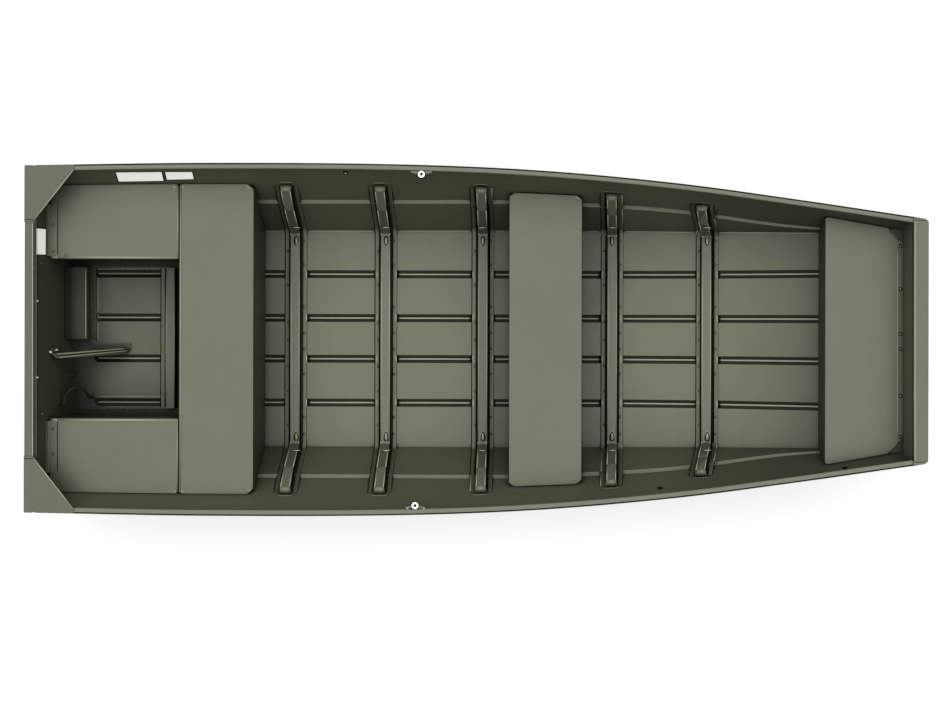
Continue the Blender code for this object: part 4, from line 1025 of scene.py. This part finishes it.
WORN_HIGHLIGHT_EDGES = (
    ("corner_gusset_port", slanted, 0.0060), ("corner_gusset_starboard", slanted, 0.0060),
    ("corner_deck_port", deck_rim, 0.0055), ("corner_deck_starboard", deck_rim, 0.0055),
    ("rear_bench", aft_rim, 0.0060), ("rear_bench", slanted, 0.0045),
    ("mid_bench", slanted, 0.0045), ("bow_deck", slanted, 0.0045), ("rib_well", fore_rim, 0.0045),
) + tuple((node, hat_fold, 0.0058) for node in RIBS + ("rib_well",))
# Painted shadow lines along the gunwales' outer edges
SHADOW_EDGES = (
    ("gunwale_port", outer_rim, 0.0070), ("gunwale_starboard", outer_rim, 0.0070),
)
def beads(name, edges, traces, material, flange_shadows=False):
    """One piece of all the beads of a kind, with painted shadow lines round the ribs' flanges if
    asked.
    """
    mesh = bmesh.new()
    for node, wanted, width in edges:
        add_edge_beads(mesh, node, wanted, width)
    for node, pixels, width in traces:
        add_bead(mesh, traced(node, pixels), width, BEAD_HEIGHT)
    if flange_shadows:
        for node in RIBS + ("rib_well",):
            add_edge_beads(mesh, node, aft_flange_rim, SHADOW_WIDTH, SHADOW_INSET, SHADOW_DROP)
            add_edge_beads(mesh, node, fore_flange_rim, FAINT_SHADOW_WIDTH, SHADOW_INSET, SHADOW_DROP)
            add_edge_beads(mesh, node, flange_rim, FOOT_SHADOW_WIDTH, FOOT_SEAM_INSET)
    plated(name, mesh, material)


def groove_ends():
    """The lips where the floor strakes run under the ribs, lighter for wear and a painted
    highlight, and the notches beside them in painted shadow.
    """
    bright, dark = bmesh.new(), bmesh.new()
    up = Vector((0, 0, 1))
    for lip, notch in GROOVE_ENDS:
        for row, middle in zip(GROOVE_ROWS, GROOVE_MIDDLES):
            on_lip, _ = seen((lip, row))
            in_notch, _ = seen_on("hull_bottom", (notch, row - GROOVE_CLEAR))
            for mesh, place in ((bright, on_lip), (dark, in_notch)):
                ends = [
                    (Vector((place.x, middle + end * GROOVE_REACH, place.z)), up)
                    for end in (-1, 1)
                ]
                add_bead(mesh, ends, NOTCH_WIDTH, BEAD_HEIGHT)
    plated("strake_ends", bright, HIGHLIGHT_PAINT)
    plated("strake_notches", dark, SHADOW_PAINT)


def bow_flange():
    """The angle that ties the bow deck to the bow panel, its corner plates, hem and rivets; plates
    and hem are dark as painted shade, the rivet heads a painted highlight on seats of painted
    shadow.
    """
    up = Vector((0, 0, 1))
    angle = bmesh.new()
    aft, fore, half, z = BOW_FLANGE
    outline = ((aft, -BOW_FLANGE_AFT), (fore, -half), (fore, half), (aft, BOW_FLANGE_AFT))
    add_slab(angle, [Vector((x, y, z)) for x, y in outline], up, PLATE_THICKNESS)
    for name, side in SIDES:
        plate = bmesh.new()
        corners = [Vector((x, y * side, height)) for x, y, height in BOW_CORNER]
        add_slab(plate, corners, up, PLATE_THICKNESS)
        plated(f"bow_corner_plate_{name}", plate, SIDE_PAINT, flat=True)
    plated("bow_deck_flange", angle, BOW_PAINT, flat=True)
    hem = bmesh.new()
    (low_x, low_z), (high_x, high_z) = BOW_HEM
    corners = (
        (low_x, -BOW_HEM_HALF, low_z), (low_x, BOW_HEM_HALF, low_z),
        (high_x, BOW_HEM_HALF, high_z), (high_x, -BOW_HEM_HALF, high_z),
    )
    add_slab(hem, [Vector(corner) for corner in corners], Vector((-1, 0, 0)), PLATE_THICKNESS)
    plated("bow_panel_hem", hem, BOARD_PAINT, flat=True)
    heads, seats = bmesh.new(), bmesh.new()
    for row in BOW_RIVET_ROWS:
        eye, way = pixel_ray((BOW_RIVET_COLUMN, row))
        place = eye + way * ((z + PLATE_THICKNESS - eye.z) / way.z)
        add_turned(heads, place, up, RIVET)
        add_turned(seats, place, up, BOW_RIVET_SEAT, SEAT_SIDES)
    piece_from("bow_rivets", heads, WORN_HIGHLIGHT_PAINT)
    piece_from("bow_rivet_seats", seats, SHADOW_PAINT)


def oarlock_details():
    """A washer under each bush, black as painted shadow round it, and the rivets at the ends of its
    base, light as a painted highlight.
    """
    washers, heads = bmesh.new(), bmesh.new()
    for name, pixels in OARLOCK_RIVETS.items():
        low, high = (NODES[f"oarlock_bush_{name}"].bound_box[corner] for corner in (0, 6))
        base_top = NODES[f"oarlock_base_{name}"].bound_box[6][2]
        middle = Vector(((low[0] + high[0]) / 2, (low[1] + high[1]) / 2, base_top))
        add_turned(washers, middle, Vector((0, 0, 1)), OARLOCK_SHADOW_WASHER, OARLOCK_SHADOW_WASHER_SIDES)
        for pixel in pixels:
            place, normal = seen_on(f"oarlock_base_{name}", pixel)
            add_turned(heads, place, normal, RIVET)
    piece_from("oarlock_shadow_washers", washers, SHADOW_PAINT)
    piece_from("oarlock_rivets", heads, HIGHLIGHT_PAINT)


def inboard(normal, side):
    """A normal, turned over if it looks away from the middle plane."""
    return -normal if normal.y * side > 0 else normal


def leg_ends():
    """The sloped plates and flat tabs that close each rib's legs on the side sheets."""
    ends, tabs = bmesh.new(), bmesh.new()
    for node in RIBS:
        copy = clean_copy(node)
        for side in (PORT, STARBOARD):
            leg = [vert.co.copy() for vert in copy.verts if vert.co.y * side > 0]
            ring = [co for co in leg if co.z > LEG_RING_Z]
            middle = (min(co.x for co in ring) + max(co.x for co in ring)) / 2
            ring = [co for co in ring if abs(co.x - middle) < RIB_HAT_HALF + LEG_SLACK]
            halves = [[co for co in ring if (co.x - middle) * way > 0] for way in (-1, 1)]
            hat = [min(half, key=lambda co: co.y * side) for half in halves]
            foot = [
                max(sorted(half, key=lambda co: co.z)[:2], key=lambda co: abs(co.x - middle))
                for half in halves
            ]
            lower = [co for co in leg if abs(co.z - LEG_SPLIT_Z) < LEG_MARGIN]
            near = min(lower, key=lambda co: (co - hat[0]).length)
            run = (hat[0] - near).normalized()
            outer = [co + run * LEG_END_RISE for co in foot]
            normal = inboard((hat[1] - hat[0]).cross(outer[0] - hat[0]).normalized(), side)
            add_slab(ends, (hat[0], hat[1], outer[1], outer[0]), normal, LEG_END_THICKNESS)
            wide, rise = Vector((TAB_SPREAD, 0, 0)), run * TAB_RISE
            aft, fore = outer[0] - wide, outer[1] + wide
            tab = [on_side(co, side) for co in (aft, fore, fore + rise, aft + rise)]
            normal = inboard((tab[1] - tab[0]).cross(tab[3] - tab[0]).normalized(), side)
            add_slab(tabs, tab, normal, PLATE_THICKNESS)
        copy.free()
    plated("rib_leg_ends", ends, LEG_PAINT)
    plated("rib_leg_tabs", tabs, HULL_PAINT)


def rivets():
    """Painted rivets, lighter as a painted highlight, with seats in painted shade, on small pieces
    and along each rib's two flanges.
    """
    spots = [seen_on(node, pixel) for node, pixels in PAINTED_RIVETS.items() for pixel in pixels]
    for number, centre in enumerate(RIB_CENTRES, 1):
        flanges = (
            (centre + RIB_FLANGE_OFFSET, FORWARD_RIVET_ROWS),
            (centre - RIB_FLANGE_OFFSET, AFT_RIVET_ROWS),
        )
        for column, rows in flanges:
            spots += [seen_on(f"rib_{number}", (column, row)) for row in rows]
    heads, seats = bmesh.new(), bmesh.new()
    for place, normal in spots:
        add_turned(heads, place, normal, RIVET)
        add_turned(seats, place, normal, RIVET_SEAT, SEAT_SIDES)
    piece_from("painted_rivets", heads, RIVET_PAINT)
    piece_from("rivet_seats", seats, SHADE_PAINT)


def bolts():
    """Bare bolts through the transom, each a washer, a nut and the end of its stud."""
    mesh = bmesh.new()
    for pixel in BRIGHT_BOLTS:
        place, normal = seen(pixel)
        for profile, sides in BOLT:
            add_turned(mesh, place, normal, profile, sides)
    piece = piece_from("bright_bolts", mesh, BARE_METAL)
    piece.data.shade_flat()


def labels():
    """Blank stickers, each over a slightly larger edge that is black as a painted shadow line."""
    for name, node, pixels in LABELS:
        hits = [seen_on(node, pixel) for pixel in pixels]
        corners = [place for place, _ in hits]
        normal = hits[0][1]
        middle = sum(corners, Vector()) / len(corners)
        grown = [corner + (corner - middle).normalized() * LABEL_BORDER for corner in corners]
        layers = (
            (name, corners, LABEL_THICKNESS, LABEL),
            (f"{name}_edge", grown, LABEL_THICKNESS / 2, SHADOW_PAINT),
        )
        for layer_name, outline, height, material in layers:
            mesh = bmesh.new()
            add_slab(mesh, outline, normal, height)
            plated(layer_name, mesh, material, flat=True)


def add_arc(mesh, place, normal, side, width, height):
    """Adds a curved bar across a rib's top, bowed outboard."""
    across = (Vector((0, side, 0)) - normal * normal.y * side).normalized()
    athwart = across.cross(normal).normalized()
    inner, outer = [], []
    for i in range(CRIMP_STEPS + 1):
        run = -1 + 2 * i / CRIMP_STEPS
        centre = place + athwart * (run * CRIMP_HALF) + across * (CRIMP_BOW * (1 - run * run))
        inner.append(centre - across * width / 2)
        outer.append(centre + across * width / 2)
    add_slab(mesh, inner + outer[::-1], normal, height)


def rib_pressings():
    """The raised teardrop and the curved crimp that are pressed into each rib near its bends, with
    painted shadow round them and painted highlights on them.
    """
    dark, bright, lips = bmesh.new(), bmesh.new(), bmesh.new()
    for number, centre in enumerate(RIB_CENTRES, 1):
        for side, row in DIMPLE_ROWS:
            place, normal = seen_on(f"rib_{number}", (centre, row))
            along = Vector((0, -side, 0))
            for mesh, (grow, height) in ((lips, DIMPLE_LIP), (dark, DIMPLE_RIM)):
                ring = oval(place, along, normal, DIMPLE_LENGTH + grow, DIMPLE_WIDTH + grow)
                add_slab(mesh, ring, normal, height)
            for share, height in DIMPLE_STEPS:
                width = DIMPLE_WIDTH * share * DIMPLE_NARROWING
                ring = oval(place, along, normal, DIMPLE_LENGTH * share, width)
                add_slab(bright, ring, normal, height)
        for side, row in CRIMP_ROWS:
            place, normal = seen_on(f"rib_{number}", (centre, row))
            add_arc(dark, place, normal, side, *DARK_CRIMP)
            add_arc(bright, place, normal, side, *BRIGHT_CRIMP)
    plated("rib_pressing_rims", dark, SHADOW_PAINT)
    plated("rib_pressings", bright, HIGHLIGHT_PAINT)
    plated("rib_pressing_lips", lips, WORN_HIGHLIGHT_PAINT)


def side_fittings():
    """The small drain grommet inside the port side and the studs inside the starboard side; the
    rings are black, and the port pin is a painted highlight.
    """
    rings, bright = bmesh.new(), bmesh.new()
    place, normal = seen_on("hull_side_port", PORT_GROMMET)
    add_turned(rings, place, normal, GROMMET, GROMMET_SIDES)
    add_turned(bright, place, normal, GROMMET_PIN, PIN_SIDES)
    for pixel in STARBOARD_GROMMETS:
        place, normal = seen_on("hull_side_starboard", pixel)
        add_turned(rings, place, normal, GROMMET, GROMMET_SIDES)
    piece_from("side_grommets", rings, SHADOW_PAINT)
    piece_from("side_grommet_pin", bright, HIGHLIGHT_PAINT)


# Stage


def camera():
    """The photograph's camera, with its optical axis off the middle of the picture."""
    data = bpy.data.cameras.new("camera")
    data.sensor_fit = "HORIZONTAL"
    data.sensor_width = SENSOR_WIDTH
    data.lens = FOCAL_PIXELS / IMAGE_WIDTH * SENSOR_WIDTH
    data.shift_x = (IMAGE_WIDTH / 2 - AXIS_PIXEL[0]) / IMAGE_WIDTH
    data.shift_y = (AXIS_PIXEL[1] - IMAGE_HEIGHT / 2) / IMAGE_WIDTH
    data.clip_end = CAMERA_REACH
    eye = bpy.data.objects.new("camera", data)
    eye.location = CAMERA_PLACE
    eye.rotation_euler = (0.0, 0.0, CAMERA_ROLL)
    bpy.context.scene.collection.objects.link(eye)
    bpy.context.scene.camera = eye


def lamps():
    """One very soft sun, a little off the vertical."""
    data = bpy.data.lights.new("sun", "SUN")
    data.energy = SUN_STRENGTH
    data.angle = SUN_SPREAD
    lamp = bpy.data.objects.new("sun", data)
    lamp.rotation_euler = (-SUN_TILT, 0.0, 0.0)
    bpy.context.scene.collection.objects.link(lamp)


def seen_directly(nodes, links):
    """1 for rays that show the background: from the camera, by reflection or through glass."""
    path = nodes.new("ShaderNodeLightPath")
    total = path.outputs["Is Camera Ray"]
    for ray in ("Is Glossy Ray", "Is Transmission Ray"):
        total = worked_out(nodes, links, "MAXIMUM", total, path.outputs[ray])
    return total


def world():
    """A white surround that shows in full but lights the boat only a little."""
    scene_world = bpy.data.worlds.new("studio")
    bpy.context.scene.world = scene_world
    scene_world.use_nodes = True
    nodes, links = scene_world.node_tree.nodes, scene_world.node_tree.links
    background = nodes["Background"]
    background.inputs["Color"].default_value = (1.0, 1.0, 1.0, 1.0)
    shown = seen_directly(nodes, links)
    links.new(ramp(nodes, links, shown, AMBIENT, 1.0, 0.0, 1.0), background.inputs["Strength"])


def floor():
    """A pale matt floor that keeps the boat's shadow."""
    mesh = bmesh.new()
    bmesh.ops.create_grid(mesh, x_segments=1, y_segments=1, size=FLOOR_HALF)
    data = bpy.data.meshes.new("floor")
    mesh.to_mesh(data)
    mesh.free()
    material, nodes, links, shader = shader_nodes("floor")
    shader.inputs["Base Color"].default_value = (FLOOR_ALBEDO, FLOOR_ALBEDO, FLOOR_ALBEDO, 1.0)
    shader.inputs["Roughness"].default_value = 1.0
    shader.inputs["Specular IOR Level"].default_value = 0.0
    shader.inputs["Emission Color"].default_value = (1.0, 1.0, 1.0, 1.0)
    shown = seen_directly(nodes, links)
    links.new(
        ramp(nodes, links, shown, 0.0, FLOOR_GLOW, 0.0, 1.0), shader.inputs["Emission Strength"],
    )
    data.materials.append(material)
    ground = bpy.data.objects.new("floor", data)
    bpy.context.scene.collection.objects.link(ground)


bpy.context.scene.view_settings.view_transform = "Standard"
camera()
lamps()
world()
floor()
dress_nodes()
resurfaced("transom_knee")
rivets()
bolts()
labels()
rib_pressings()
beads("worn_highlight_edges", WORN_HIGHLIGHT_EDGES, WORN_HIGHLIGHT_TRACES, WORN_HIGHLIGHT_PAINT)
beads("painted_highlight_corners", (), HIGHLIGHT_CORNER_TRACES, HIGHLIGHT_PAINT)
beads("painted_shadow_lines", SHADOW_EDGES, SHADOW_TRACES, SHADOW_PAINT, flange_shadows=True)
leg_ends()
groove_ends()
bow_flange()
oarlock_details()
side_fittings()
